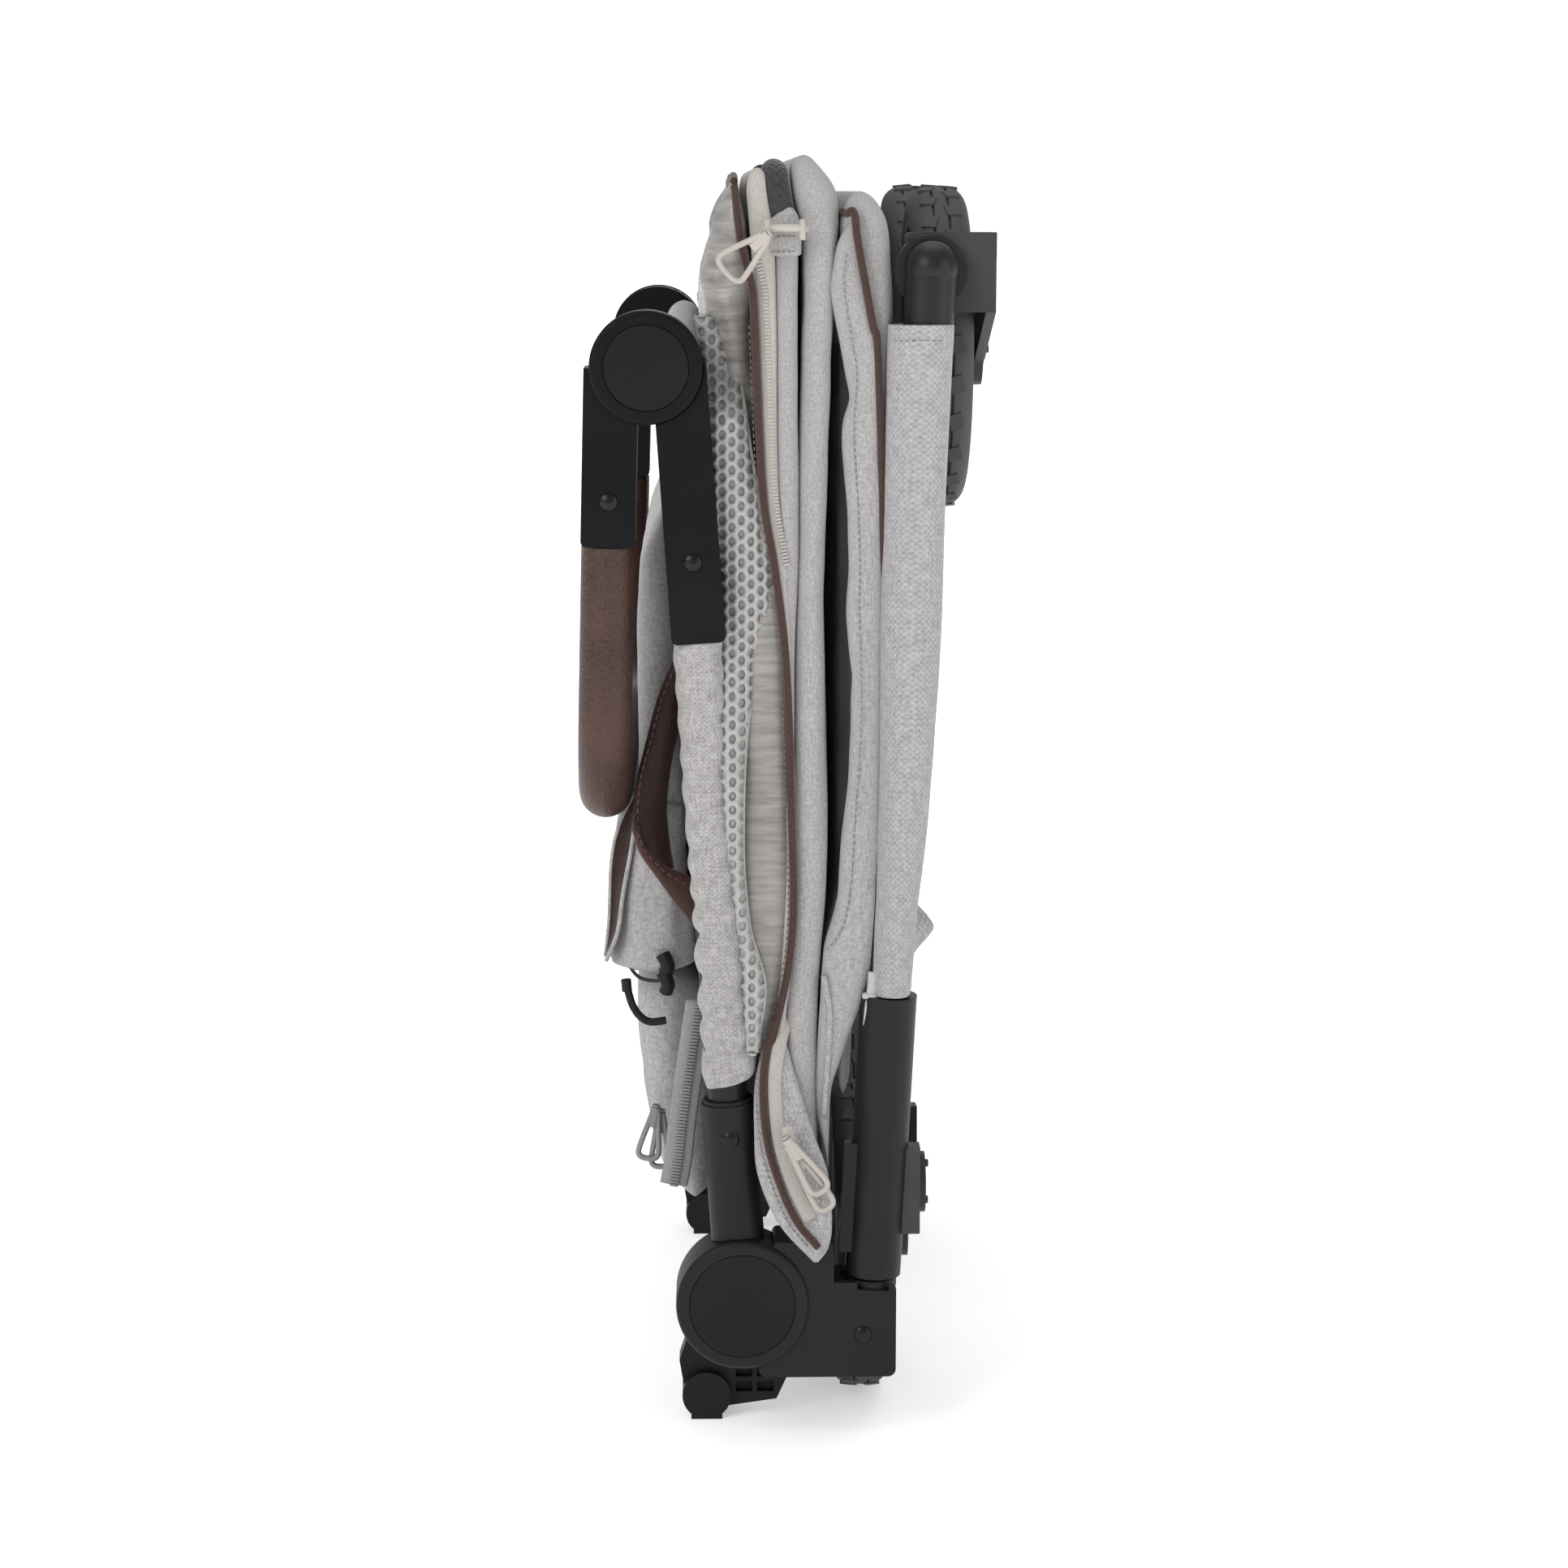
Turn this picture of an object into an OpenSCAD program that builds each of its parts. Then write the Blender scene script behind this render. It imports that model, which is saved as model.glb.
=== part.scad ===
// Compact folding stroller, folded and standing on end.
// +Z is up, +X is the underside of the seat, and -Y is the stroller's right side.
// The origin is on the floor, under the middle of the folded stroller.

/* [Overall] */
// Width across the hub covers
frame_w = 440; // [380:5:540]
// Length of the seat tubes, from the floor line to their upper ends
seat_len = 565; // [480:5:680]
// Distance from the hub pivot to the handlebar pivot, along the handle tubes
handle_len = 462.5; // [400:2.5:560]

/* [Frame tubes] */
// Outside diameter of the seat tubes
seat_tube_d = 21; // [17:0.5:25]
// Outside diameter of the handle tubes
handle_tube_d = 20; // [16:0.5:24]
// Wall of every frame tube
tube_wall = 1.5; // [1:0.1:3]
// Diameter of the two crossbars
crossbar_d = 16; // [13:0.5:20]

/* [Hubs] */
// Height of the hub pivots above the floor
hub_z = 78.6; // [72:0.2:96]
// Radius of the round hub
hub_r = 33; // [30:0.5:36]
// Radius of the flush hub cover
hub_cover_r = 26.5; // [20:0.5:28]
// Diameter of the hub pivot pins
hub_pin_d = 12; // [8:0.5:16]
// Thickness of the socket disc that turns inside each hub
socket_disc_t = 16; // [12:0.5:18]

/* [Handlebar] */
// Radius of the round handlebar joint
joint_r = 27; // [24:0.5:34]
// Diameter of the handlebar joint pins
joint_pin_d = 10; // [7:0.5:13]
// Width of the plastic arms
arm_w = 26; // [23:0.5:30]
// Drop from the handlebar joint to the middle of the crossbar grip
bar_drop = 214; // [170:2:260]
// Outside diameter of the leather grip
grip_d = 26; // [23:0.5:30]
// Diameter of the bar inside the grip
bar_d = 19; // [14:0.5:21]

/* [Wheels and legs] */
// Outside diameter of every wheel
wheel_d = 160; // [132:2:162]
// Width of the tyres
tyre_w = 29; // [22:1:31]
// Diameter of the wheel axles
axle_d = 8; // [6:0.5:12]
// Outside diameter of the rear leg sleeve
leg_sleeve_d = 28; // [26:0.5:30]
// Diameter of the caster king pins
king_pin_d = 8; // [5:0.5:12]
// Distance from the caster pivot to the front axle
caster_trail = 40; // [30:1:48]
// Angle at which the left caster hangs
left_caster_hang = 4; // [0:1:10]

/* [Clearances] */
// Radial clearance of every turning shaft
run_gap = 0.05; // [0.02:0.01:0.1]
// Gap between the side faces of moving pieces
side_gap = 0.3; // [0.2:0.1:0.6]
// Gap between soft goods and their neighbours
soft_gap = 1; // [0.5:0.5:3]

/* [Hidden] */
$fn = 72;
hub_x = -23.4;
seat_lean = 3;
handle_lean = 3.9;
half_w = frame_w / 2;
tube_y = half_w - 17;                  // distance of the tubes from the middle
shell_y = tube_y + 14;                 // outer face of the hub body and arms
socket_out_y = tube_y + socket_disc_t / 2 - 4.3;
socket_in_y = socket_out_y - socket_disc_t;
hub_in_y = socket_in_y - side_gap - 4;

seat_foot_x = 37;                      // seat tube axis where it meets the floor plane
hub_end_x = 53;
hub_low_z = hub_z - 38;
hub_socket_z = hub_z + 11;
sleeve_low_z = hub_socket_z + 1.2;
sleeve_h = 143;
guide_low = sleeve_low_z + 12;         // the rib on the inner side of each rear leg
guide_h = 56;
guide_top_z = (guide_low + guide_h) * cos(seat_lean);
knob_low = seat_len - 20;
pivot_up = seat_len + 21;              // caster pivot, along the seat tube

wheel_r = wheel_d / 2;
rear_wheel_x = 39;
rear_wheel_y = tube_y - leg_sleeve_d / 2 - wheel_r - 6;
knob_r = seat_tube_d / 2 + 2.2;        // round end of the front leg
fork_out_y = tube_y - knob_r - side_gap; // outer face of the caster crown
crown_t = 7.5;
front_wheel_y = fork_out_y - crown_t - wheel_r - 2;
front_wheel_dx = 8.5;
fork_x = front_wheel_dx + tyre_w / 2 + 4;

joint_split_y = tube_y + 2.8;          // where the two halves of a handlebar joint meet
joint_in_y = half_w - 30;
lower_arm_dx = 15.5;                   // arm centre lines from the joint pivot
upper_arm_dx = 16.5;
bar_lean = 1.6;                        // the hanging handlebar leans away from the frame
joint_dx = -13.2;                      // joint pivot from the handle tube axis
joint_x = hub_x + joint_dx * cos(handle_lean) - handle_len * sin(handle_lean);
joint_z = hub_z + handle_len * cos(handle_lean) + joint_dx * sin(-handle_lean);
lower_arm_len = 133;
upper_arm_len = 86;
bar_bend_r = 48;
joint_cover_r = joint_r - 6.5;
bar_top = upper_arm_len - 30;          // top of the bar, below the joint pivot
socket_top = 103;

pack_x = 22.5;                         // plane between the canopy pack and the seat
pack_low_z = hub_z + 44;
pack_top_z = joint_z + 101;
seat_low_z = max(2 * wheel_r, guide_top_z) + 15;
seat_top_z = pivot_up + 14;
seat_side_x = seat_foot_x + (seat_top_z - 60) * tan(seat_lean) - 16.5;
soft_y = joint_in_y - 5;
side_y = tube_y + 4;                   // half width of the canopy pack and the seat pad
tube_side = arm_w / 2 + 2.3 + soft_gap; // soft goods start this far in front of the handle tubes
foot_y = tube_y - 48;
foot_t = 24;

// ---- helpers: everything is drawn for the right side, at -Y, and mirrored for the left ----
module on_left() mirror([0, 1, 0]) children();

module both_sides() {
    children();
    on_left() children();
}

// An outline drawn in X and Z, as a plate between two distances from the middle
module plate(y_in, y_out) {
    translate([0, -y_in, 0])
        rotate([90, 0, 0])
            linear_extrude(y_out - y_in)
                children();
}

// A round bar across the frame, between two distances from the middle
module bar_y(x, z, r, y_in, y_out) {
    plate(y_in, y_out)
        translate([x, z])
            circle(r);
}

// A round bar along X
module bar_x(y, z, r, x_low, x_high) {
    translate([x_low, -y, z])
        rotate([0, 90, 0])
            cylinder(r = r, h = x_high - x_low);
}

// A disc about Y whose outer rim is rounded
module soft_disc(x, z, r, y_in, y_out, round_r) {
    h = y_out - y_in;
    translate([x, -y_in, z])
        rotate([90, 0, 0])
            rotate_extrude() {
                square([r - round_r, h]);
                square([r, h - round_r]);
                translate([r - round_r, h - round_r])
                    circle(round_r, $fn = 32);
            }
}

module round_rect(x0, z0, x1, z1, r) {
    translate([x0 + r, z0])
        square([x1 - x0 - 2 * r, z1 - z0]);
    translate([x0, z0 + r])
        square([x1 - x0, z1 - z0 - 2 * r]);
    for (x = [x0 + r, x1 - r], z = [z0 + r, z1 - r])
        translate([x, z])
            circle(r, $fn = 32);
}

// Places its children on the seat tube axis, with Z along the tube
module on_seat_tube() {
    translate([seat_foot_x, -tube_y, 0])
        rotate([0, seat_lean, 0])
            children();
}

// Places its children on the handle tube axis, with Z along the tube from the hub pivot
module on_handle_tube() {
    translate([hub_x, -tube_y, hub_z])
        rotate([0, -handle_lean, 0])
            children();
}

module in_handle_frame() {
    translate([hub_x, 0, hub_z])
        rotate([0, -handle_lean, 0])
            children();
}

module pipe(r_out, r_in, low, high) {
    difference() {
        translate([0, 0, low])
            cylinder(r = r_out, h = high - low);
        translate([0, 0, low - 1])
            cylinder(r = r_in, h = high - low + 2);
    }
}

// A domed rivet whose head faces outwards
module rivet(y_out) {
    translate([0, -y_out, 0])
        rotate([90, 0, 0])
            rotate_extrude($fn = 32)
                intersection() {
                    translate([0, -5.5])
                        circle(7.1);
                    square([5, 3]);
                }
}

// ---- seat frame ----
module hub() {
    color("#2b292b")
        difference() {
            union() {
                soft_disc(hub_x, hub_z, hub_r, socket_out_y + side_gap, half_w, 3);
                bar_y(hub_x, hub_z, hub_r - 3, hub_in_y, socket_in_y - side_gap);
                plate(tube_y - 14, shell_y) {
                    round_rect(hub_x + 8, hub_low_z, hub_end_x, hub_socket_z, 4);
                    round_rect(hub_x + 15, hub_low_z, 22, hub_z + 32, 3);
                }
            }
            bar_y(hub_x, hub_z, hub_cover_r, half_w - 3, half_w + 1);
            bar_y(hub_x, hub_z, hub_pin_d / 2 + run_gap, hub_in_y - 1, half_w);
            bar_y(hub_x, hub_z, hub_r + side_gap, socket_in_y - side_gap, socket_out_y + side_gap);
            on_seat_tube()
                translate([0, 0, hub_low_z + 6])
                    cylinder(d = seat_tube_d, h = hub_socket_z);
            on_seat_tube()
                translate([0, 0, hub_socket_z - 4])
                    cylinder(d = leg_sleeve_d + 4, h = 40);
        }
}

module hub_cover() {
    color("#1d1c1d")
        bar_y(hub_x, hub_z, hub_cover_r - side_gap, half_w - 3, half_w);
}

module hub_pins() {
    color("silver")
        both_sides()
            bar_y(hub_x, hub_z, hub_pin_d / 2, hub_in_y, half_w - 3);
}

module seat_tube() {
    color("#202123")
        on_seat_tube()
            pipe(seat_tube_d / 2, seat_tube_d / 2 - tube_wall, hub_low_z + 6, seat_len);
}

module rear_crossbar() {
    color("#202123")
        translate([hub_x, -hub_in_y, hub_z])
            rotate([-90, 0, 0])
                pipe(crossbar_d / 2, crossbar_d / 2 - tube_wall, 0, 2 * hub_in_y);
}

front_bar_up = seat_len - 135;
front_bar_x = seat_foot_x + front_bar_up * sin(seat_lean);
front_bar_z = front_bar_up * cos(seat_lean);
front_bar_half = tube_y - seat_tube_d / 2 + 0.6;

module front_crossbar() {
    color("#202123")
        difference() {
            translate([front_bar_x, -front_bar_half, front_bar_z])
                rotate([-90, 0, 0])
                    pipe(crossbar_d / 2, crossbar_d / 2 - tube_wall, 0, 2 * front_bar_half);
            both_sides()
                on_seat_tube()
                    cylinder(d = seat_tube_d, h = seat_len);
        }
}

// A foot that hangs from the rear crossbar: a ribbed plate with a round lobe at its lower end
module stand_foot() {
    lobe_x = hub_x - 18;
    lobe_r = 12.5;
    y_mid = foot_y;
    color("#1b1b1c")
        difference() {
            union() {
                plate(y_mid - foot_t / 2, y_mid + foot_t / 2) {
                    translate([lobe_x, lobe_r])
                        circle(lobe_r);
                    translate([lobe_x - 8, 0])
                        square([16, 8]);
                }
                plate(y_mid - 7, y_mid + 7)
                    polygon([
                        [lobe_x - 14, 30], [lobe_x - 11, 12], [lobe_x + 8, 5], [hub_x + 18, 9],
                        [hub_x + 23, 20], [hub_x + 22, 33], [hub_x + 10, hub_z], [hub_x - 10, hub_z],
                        [lobe_x - 10, 42]
                    ]);
                bar_y(hub_x, hub_z, crossbar_d / 2 + 4, y_mid - foot_t / 2, y_mid + foot_t / 2);
            }
            bar_y(hub_x, hub_z, crossbar_d / 2, y_mid - foot_t, y_mid + foot_t);
            for (x = [hub_x - 3, hub_x + 8], z = [13, 21])
                translate([x, -y_mid - 8, z])
                    cube([8.5, 5, 5.5]);
        }
}

// Fabric sleeves round the two seat tubes
module seat_sleeves() {
    color("#b9b6b5")
        difference() {
            both_sides()
                on_seat_tube()
                    pipe(15.2, seat_tube_d / 2 + 2.4, sleeve_low_z + sleeve_h + 3, seat_len - 4);
            bar_y(front_bar_x, front_bar_z, crossbar_d / 2 + side_gap, -front_bar_half, front_bar_half);
        }
}

// Seat and leg rest folded into one flat pad between the seat tubes
module seat_pad() {
    color("#b9b6b5")
        difference() {
            plate(-side_y, side_y)
                polygon([
                    [pack_x + soft_gap, seat_low_z], [29, seat_low_z], [seat_side_x, seat_top_z - 60],
                    [seat_side_x - 2, seat_top_z - 12], [36, seat_top_z],
                    [pack_x + soft_gap, seat_top_z - 6]
                ]);
            bar_y(front_bar_x, front_bar_z, crossbar_d / 2 + soft_gap, -half_w, half_w);
        }
}

module frame_rivets() {
    color("#141414")
        both_sides()
            translate([36.5, 0, hub_z - 16])
                rivet(shell_y);
}

// ---- handle frame ----
module handle_socket() {
    color("#2b292b")
        difference() {
            union() {
                bar_y(hub_x, hub_z, hub_r, socket_in_y, socket_out_y);
                on_handle_tube() {
                    cylinder(r = 13.2, h = socket_top - 2);
                    translate([0, 0, socket_top - 3])
                        cylinder(r = 12.2, h = 3);
                }
            }
            on_handle_tube()
                translate([0, 0, hub_r + 4])
                    cylinder(d = handle_tube_d, h = socket_top);
            bar_y(hub_x, hub_z, hub_pin_d / 2 + run_gap, 0, half_w);
            bar_y(hub_x, hub_z, hub_r + side_gap, socket_out_y, half_w + 1);
            bar_y(hub_x, hub_z, hub_r + side_gap, hub_in_y - 5, socket_in_y);
        }
}

module handle_tube() {
    color("#202123")
        on_handle_tube()
            pipe(handle_tube_d / 2, handle_tube_d / 2 - tube_wall, hub_r + 4, handle_len - 62);
}

// Lower arm: a box-shaped arm that ends in the inner half of the handlebar joint
module lower_arm() {
    color("#15171a")
        difference() {
            union() {
                bar_y(joint_x, joint_z, joint_r - 0.5, joint_in_y, joint_split_y - side_gap);
                translate([joint_x, 0, joint_z])
                    rotate([0, -handle_lean, 0])
                        plate(joint_in_y, half_w - 4) {
                            round_rect(
                                lower_arm_dx - arm_w / 2, -lower_arm_len, lower_arm_dx + arm_w / 2, -8, 3
                            );
                            translate([lower_arm_dx - arm_w / 2, -30])
                                square([arm_w, 29]);
                        }
            }
            bar_y(joint_x, joint_z, joint_r + side_gap, joint_split_y - side_gap, half_w + 1);
            bar_y(joint_x, joint_z, joint_pin_d / 2 + run_gap, joint_in_y - 1, half_w);
            on_handle_tube()
                cylinder(d = handle_tube_d, h = handle_len - 62);
        }
}

module handle_sleeves() {
    color("#b9b6b5")
        both_sides()
            on_handle_tube()
                pipe(12.9, handle_tube_d / 2 + 0.2, socket_top + 10, handle_len - lower_arm_len - 4);
}

module backrest() {
    color("#b9b6b5")
        in_handle_frame()
            plate(-soft_y, soft_y)
                polygon([
                    [-7, 62], [tube_side - soft_gap, 58], [tube_side - soft_gap, handle_len + 25],
                    [-2, handle_len + 22], [-7, handle_len]
                ]);
}

// Pocket on the back: a flat upper part, a full lower part and a narrow zipped panel below it
module back_pocket() {
    color("#b9b6b5")
        in_handle_frame() {
            plate(-soft_y + 18, soft_y - 18)
                polygon([
                    [-8, 134], [-41, 138], [-49, 150], [-47, 190], [-37, 228], [-32, 300],
                    [-27, 380], [-20, 404], [-8, 404]
                ]);
            plate(-foot_y + foot_t, foot_y - foot_t)
                polygon([[-8, 52], [-21, 66], [-32, 100], [-37, 133.5], [-8, 133.5]]);
        }
}

// The canopy, its bows and the side panels, folded into one tall pack
module canopy_pack() {
    color("#b9b6b5")
        difference() {
            plate(-side_y, side_y)
                polygon([
                    [joint_x, pack_low_z], [hub_x + 36, pack_low_z - 4], [pack_x - 4, pack_low_z + 30],
                    [pack_x, pack_low_z + 160], [pack_x, pack_top_z - 45], [pack_x - 6, pack_top_z - 10],
                    [pack_x - 16, pack_top_z], [pack_x - 34, pack_top_z - 6],
                    [joint_x + 34, joint_z + 60], [joint_x + 34, joint_z - 8], [joint_x, joint_z - 32]
                ]);
            in_handle_frame()
                plate(-half_w, half_w)
                    translate([tube_side - 200, 0])
                        square([200, handle_len + 27]);
        }
}

// Webbing strap that bows out behind the right handle tube
module carry_strap() {
    color("#2a1c1a")
        translate([0, -soft_y - soft_gap, 0])
            rotate([90, 0, 0])
                linear_extrude(2)
                    polygon([
                        [hub_x - 31, 404], [hub_x - 40, 372], [hub_x - 49, 330], [hub_x - 52, 306],
                        [hub_x - 42, 284], [hub_x - 22, 262], [hub_x - 16, 300], [hub_x - 20, 360]
                    ]);
}

// Elastic cord loop under the pocket, and the plastic hook below it
module net_loop() {
    color("#1a1a1a")
        translate([joint_x - 4, -tube_y + 60, 200])
            rotate([90, 0, 0])
                rotate_extrude(angle = 360, $fn = 48)
                    translate([9, 0])
                        circle(1.1, $fn = 16);
}

module strap_hook() {
    color("#1a1a1a")
        translate([joint_x + 6, -tube_y + 52, 196])
            rotate([90, 0, 0])
                linear_extrude(12)
                    difference() {
                        circle(20);
                        circle(17.5);
                        translate([-25, -3])
                            square([50, 30]);
                    }
}

module handle_rivets() {
    color("#141414")
        both_sides() {
            in_handle_frame()
                translate([0, 0, 84.5])
                    rivet(tube_y + 12.8);
            in_handle_frame()
                translate([joint_dx + lower_arm_dx, 0, handle_len - 92])
                    rivet(half_w - 4);
        }
}

// ---- handlebar, drawn round its joint pivot ----
module on_bar() {
    translate([joint_x, 0, joint_z])
        rotate([0, bar_lean, 0])
            children();
}

module upper_arm() {
    color("#15171a")
        on_bar()
            difference() {
                union() {
                    soft_disc(0, 0, joint_r, joint_split_y, half_w, 2);
                    plate(joint_in_y, half_w - 4) {
                        round_rect(
                            -upper_arm_dx - arm_w / 2, -upper_arm_len, arm_w / 2 - upper_arm_dx, -8, 3
                        );
                        translate([-upper_arm_dx - arm_w / 2, -30])
                            square([arm_w, 29]);
                    }
                }
                bar_y(0, 0, joint_r + side_gap, joint_in_y - 1, joint_split_y);
                bar_y(0, 0, joint_cover_r, half_w - 3, half_w + 1);
                bar_y(0, 0, joint_pin_d / 2 + run_gap, joint_in_y - 1, half_w);
                translate([-upper_arm_dx, -tube_y, -upper_arm_len - 1])
                    cylinder(d = bar_d, h = upper_arm_len - bar_top + 1);
            }
}

module joint_cover() {
    color("#1a1b1d")
        on_bar()
            bar_y(0, 0, joint_cover_r - side_gap, half_w - 3, half_w - 0.2);
}

module joint_pins() {
    color("silver")
        both_sides()
            bar_y(joint_x, joint_z, joint_pin_d / 2, joint_in_y, half_w - 3);
}

// A U of round section: two legs, two bends and a crossbar
module u_bar(r, top_drop) {
    on_bar()
        translate([-upper_arm_dx, 0, -bar_drop]) {
            both_sides() {
                translate([0, -tube_y, bar_bend_r])
                    cylinder(r = r, h = bar_drop - top_drop - bar_bend_r);
                translate([0, -tube_y + bar_bend_r, bar_bend_r])
                    rotate([0, 90, 0])
                        rotate([0, 0, -90])
                            rotate_extrude(angle = 90)
                                translate([bar_bend_r, 0])
                                    circle(r);
            }
            translate([0, -tube_y + bar_bend_r, 0])
                rotate([-90, 0, 0])
                    cylinder(r = r, h = 2 * (tube_y - bar_bend_r));
        }
}

module bar_tube() {
    color("#202123")
        u_bar(bar_d / 2, bar_top);
}

module leather_grip() {
    color("#5f4843")
        difference() {
            u_bar(grip_d / 2, upper_arm_len + 0.4);
            u_bar(bar_d / 2, bar_top);
        }
}

module bar_rivets() {
    color("#141414")
        both_sides()
            on_bar()
                translate([-upper_arm_dx, 0, -64])
                    rivet(half_w - 4);
}

// ---- rear legs, brakes and wheels ----
module rear_leg() {
    color("#232224")
        on_seat_tube() {
            pipe(leg_sleeve_d / 2, seat_tube_d / 2 + run_gap, sleeve_low_z, sleeve_low_z + sleeve_h);
            difference() {
                translate([-leg_sleeve_d / 2 - 4, -8, guide_low])
                    cube([8, 6, guide_h]);
                cylinder(d = seat_tube_d + 4, h = 400);
            }
        }
}

bracket_x = rear_wheel_x + tyre_w / 2 + 5;
bracket_t = 6.5;
bracket_pin_z = wheel_r + 27;

// Bracket from the rear leg sleeve to the axle, which is part of it
module rear_bracket() {
    color("#454446")
        difference() {
            union() {
                translate([bracket_x, -rear_wheel_y, 0])
                    rotate([90, 0, 90])
                        linear_extrude(bracket_t) {
                            translate([0, wheel_r])
                                circle(13);
                            polygon([
                                [-13, wheel_r], [-10, bracket_pin_z + 13], [10, bracket_pin_z + 15],
                                [13, wheel_r]
                            ]);
                            polygon([
                                [rear_wheel_y - tube_y - 6, 112], [rear_wheel_y - tube_y - 6, 156],
                                [-4, bracket_pin_z + 14], [8, bracket_pin_z - 8], [-2, wheel_r + 4]
                            ]);
                        }
                translate([seat_foot_x + 8, -tube_y - 6, 112])
                    cube([bracket_x + bracket_t - seat_foot_x - 8, 12, 44]);
                bar_x(rear_wheel_y, wheel_r, axle_d / 2, rear_wheel_x - 15, bracket_x + 1);
                bar_x(rear_wheel_y, bracket_pin_z, 3, bracket_x, bracket_x + bracket_t + 6);
                translate([bracket_x + bracket_t + 5, -rear_wheel_y, bracket_pin_z])
                    rotate([0, 90, 0])
                        cylinder(r = 16, h = 4);
                for (z = [bracket_pin_z - 10, bracket_pin_z + 10])
                    bar_x(rear_wheel_y, z, 2, bracket_x + bracket_t + 8.5, bracket_x + bracket_t + 11);
            }
            on_seat_tube()
                cylinder(d = leg_sleeve_d, h = 400);
        }
}

// Rocker pedal on the outside of the bracket
module brake_pedal() {
    color("#1b1b1c")
        difference() {
            translate([bracket_x + bracket_t + side_gap, -rear_wheel_y, bracket_pin_z])
                rotate([90, 0, 90])
                    linear_extrude(5 - 2 * side_gap) {
                        circle(9);
                        polygon([[-6, -26], [6, -26], [8, 0], [7, 34], [12, 40], [-4, 42], [-8, 0]]);
                    }
            bar_x(rear_wheel_y, bracket_pin_z, 3 + run_gap, bracket_x, bracket_x + 20);
        }
}

module tyre() {
    rotate([0, 90, 0])
        rotate_extrude($fn = 96)
            difference() {
                union() {
                    translate([wheel_r - 20, -tyre_w / 2 + 1])
                        square([11, tyre_w - 2]);
                    translate([wheel_r - 11, -tyre_w / 2 + 9])
                        square([11, tyre_w - 18]);
                    translate([wheel_r - 10, -tyre_w / 2])
                        square([1, tyre_w]);
                    for (side = [-1, 1])
                        translate([wheel_r - 10, side * (tyre_w / 2 - 10)])
                            circle(10, $fn = 48);
                }
                for (side = [-1, 1])
                    translate([wheel_r - 1.2, side * 3.8 - 0.6])
                        square([3, 1.2]);
                translate([0, -tyre_w])
                    square([wheel_r - 20, 2 * tyre_w]);
            }
}

module rim() {
    spokes = 5;
    rotate([0, 90, 0])
        difference() {
            union() {
                rotate_extrude($fn = 96) {
                    translate([wheel_r - 25, -tyre_w / 2 + 3])
                        square([5, tyre_w - 6]);
                    translate([0, -tyre_w / 2 + 3.5])
                        square([13, tyre_w - 7]);
                }
                for (i = [0:spokes - 1])
                    rotate([0, 0, i * 360 / spokes])
                        translate([10, -5, -5])
                            cube([wheel_r - 32, 10, 10]);
            }
            translate([0, 0, -tyre_w])
                cylinder(d = axle_d + 2 * run_gap, h = 2 * tyre_w);
        }
}

module rear_tyre() {
    color("#3f3e40")
        translate([rear_wheel_x, -rear_wheel_y, wheel_r])
            tyre();
}

module rear_rim() {
    color("#2b292b")
        translate([rear_wheel_x, -rear_wheel_y, wheel_r])
            rim();
}

// ---- front legs and casters ----
pivot_x = seat_foot_x + pivot_up * sin(seat_lean);
pivot_z = pivot_up * cos(seat_lean);

// Cap on the seat tube's end with a round boss for the king pin
module front_leg() {
    color("#1c1c1e")
        difference() {
            union() {
                on_seat_tube() {
                    translate([0, 0, knob_low])
                        cylinder(r = knob_r - 0.5, h = pivot_up + 4 - knob_low);
                    translate([0, 0, pivot_up + 2])
                        sphere(r = knob_r);
                }
                bar_y(pivot_x, pivot_z, 17.5, fork_out_y + side_gap, tube_y - 4);
            }
            on_seat_tube()
                cylinder(d = seat_tube_d + 2 * run_gap, h = seat_len + side_gap);
            bar_y(pivot_x, pivot_z, king_pin_d / 2 + run_gap, fork_out_y - 1, tube_y + 4);
        }
}

module swung(angle) {
    translate([pivot_x, 0, pivot_z])
        rotate([0, angle, 0])
            children();
}

// Caster fork: a flat crown on the boss, one arm beside the wheel, and the axle
module caster_fork(angle) {
    axle_x = front_wheel_dx + tyre_w / 2;
    color("#454446")
        swung(angle)
            difference() {
                union() {
                    plate(fork_out_y - crown_t, fork_out_y)
                        round_rect(-12, -19.5, fork_x + 5, 18.5, 3);
                    translate([fork_x, -front_wheel_y, 0])
                        rotate([90, 0, 90])
                            linear_extrude(5) {
                                translate([0, -caster_trail])
                                    circle(19);
                                polygon([
                                    [front_wheel_y - fork_out_y, -19.5], [front_wheel_y - fork_out_y, 18.5],
                                    [front_wheel_y - fork_out_y + 16, 16],
                                    [17, -caster_trail + 8], [-17, -caster_trail - 8]
                                ]);
                            }
                    bar_x(front_wheel_y, -caster_trail, axle_d / 2, front_wheel_dx - 15, fork_x + 1);
                    bar_x(front_wheel_y, -caster_trail, 8, axle_x + 0.7, fork_x + 0.5);
                    bar_x(front_wheel_y, -caster_trail + 10, 16, fork_x + 4, fork_x + 7);
                    for (z = [-caster_trail - 1, -caster_trail + 21])
                        bar_x(front_wheel_y, z, 2, fork_x + 6, fork_x + 9);
                }
                bar_y(0, 0, king_pin_d / 2, fork_out_y - crown_t + 1, fork_out_y + 1);
            }
}

module king_pin() {
    color("silver")
        bar_y(pivot_x, pivot_z, king_pin_d / 2, fork_out_y - crown_t + 1, tube_y + 3.5);
}

module front_tyre(angle) {
    color("#3f3e40")
        swung(angle)
            translate([front_wheel_dx, -front_wheel_y, -caster_trail])
                tyre();
}

module front_rim(angle) {
    color("#2b292b")
        swung(angle)
            translate([front_wheel_dx, -front_wheel_y, -caster_trail])
                rim();
}

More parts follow.
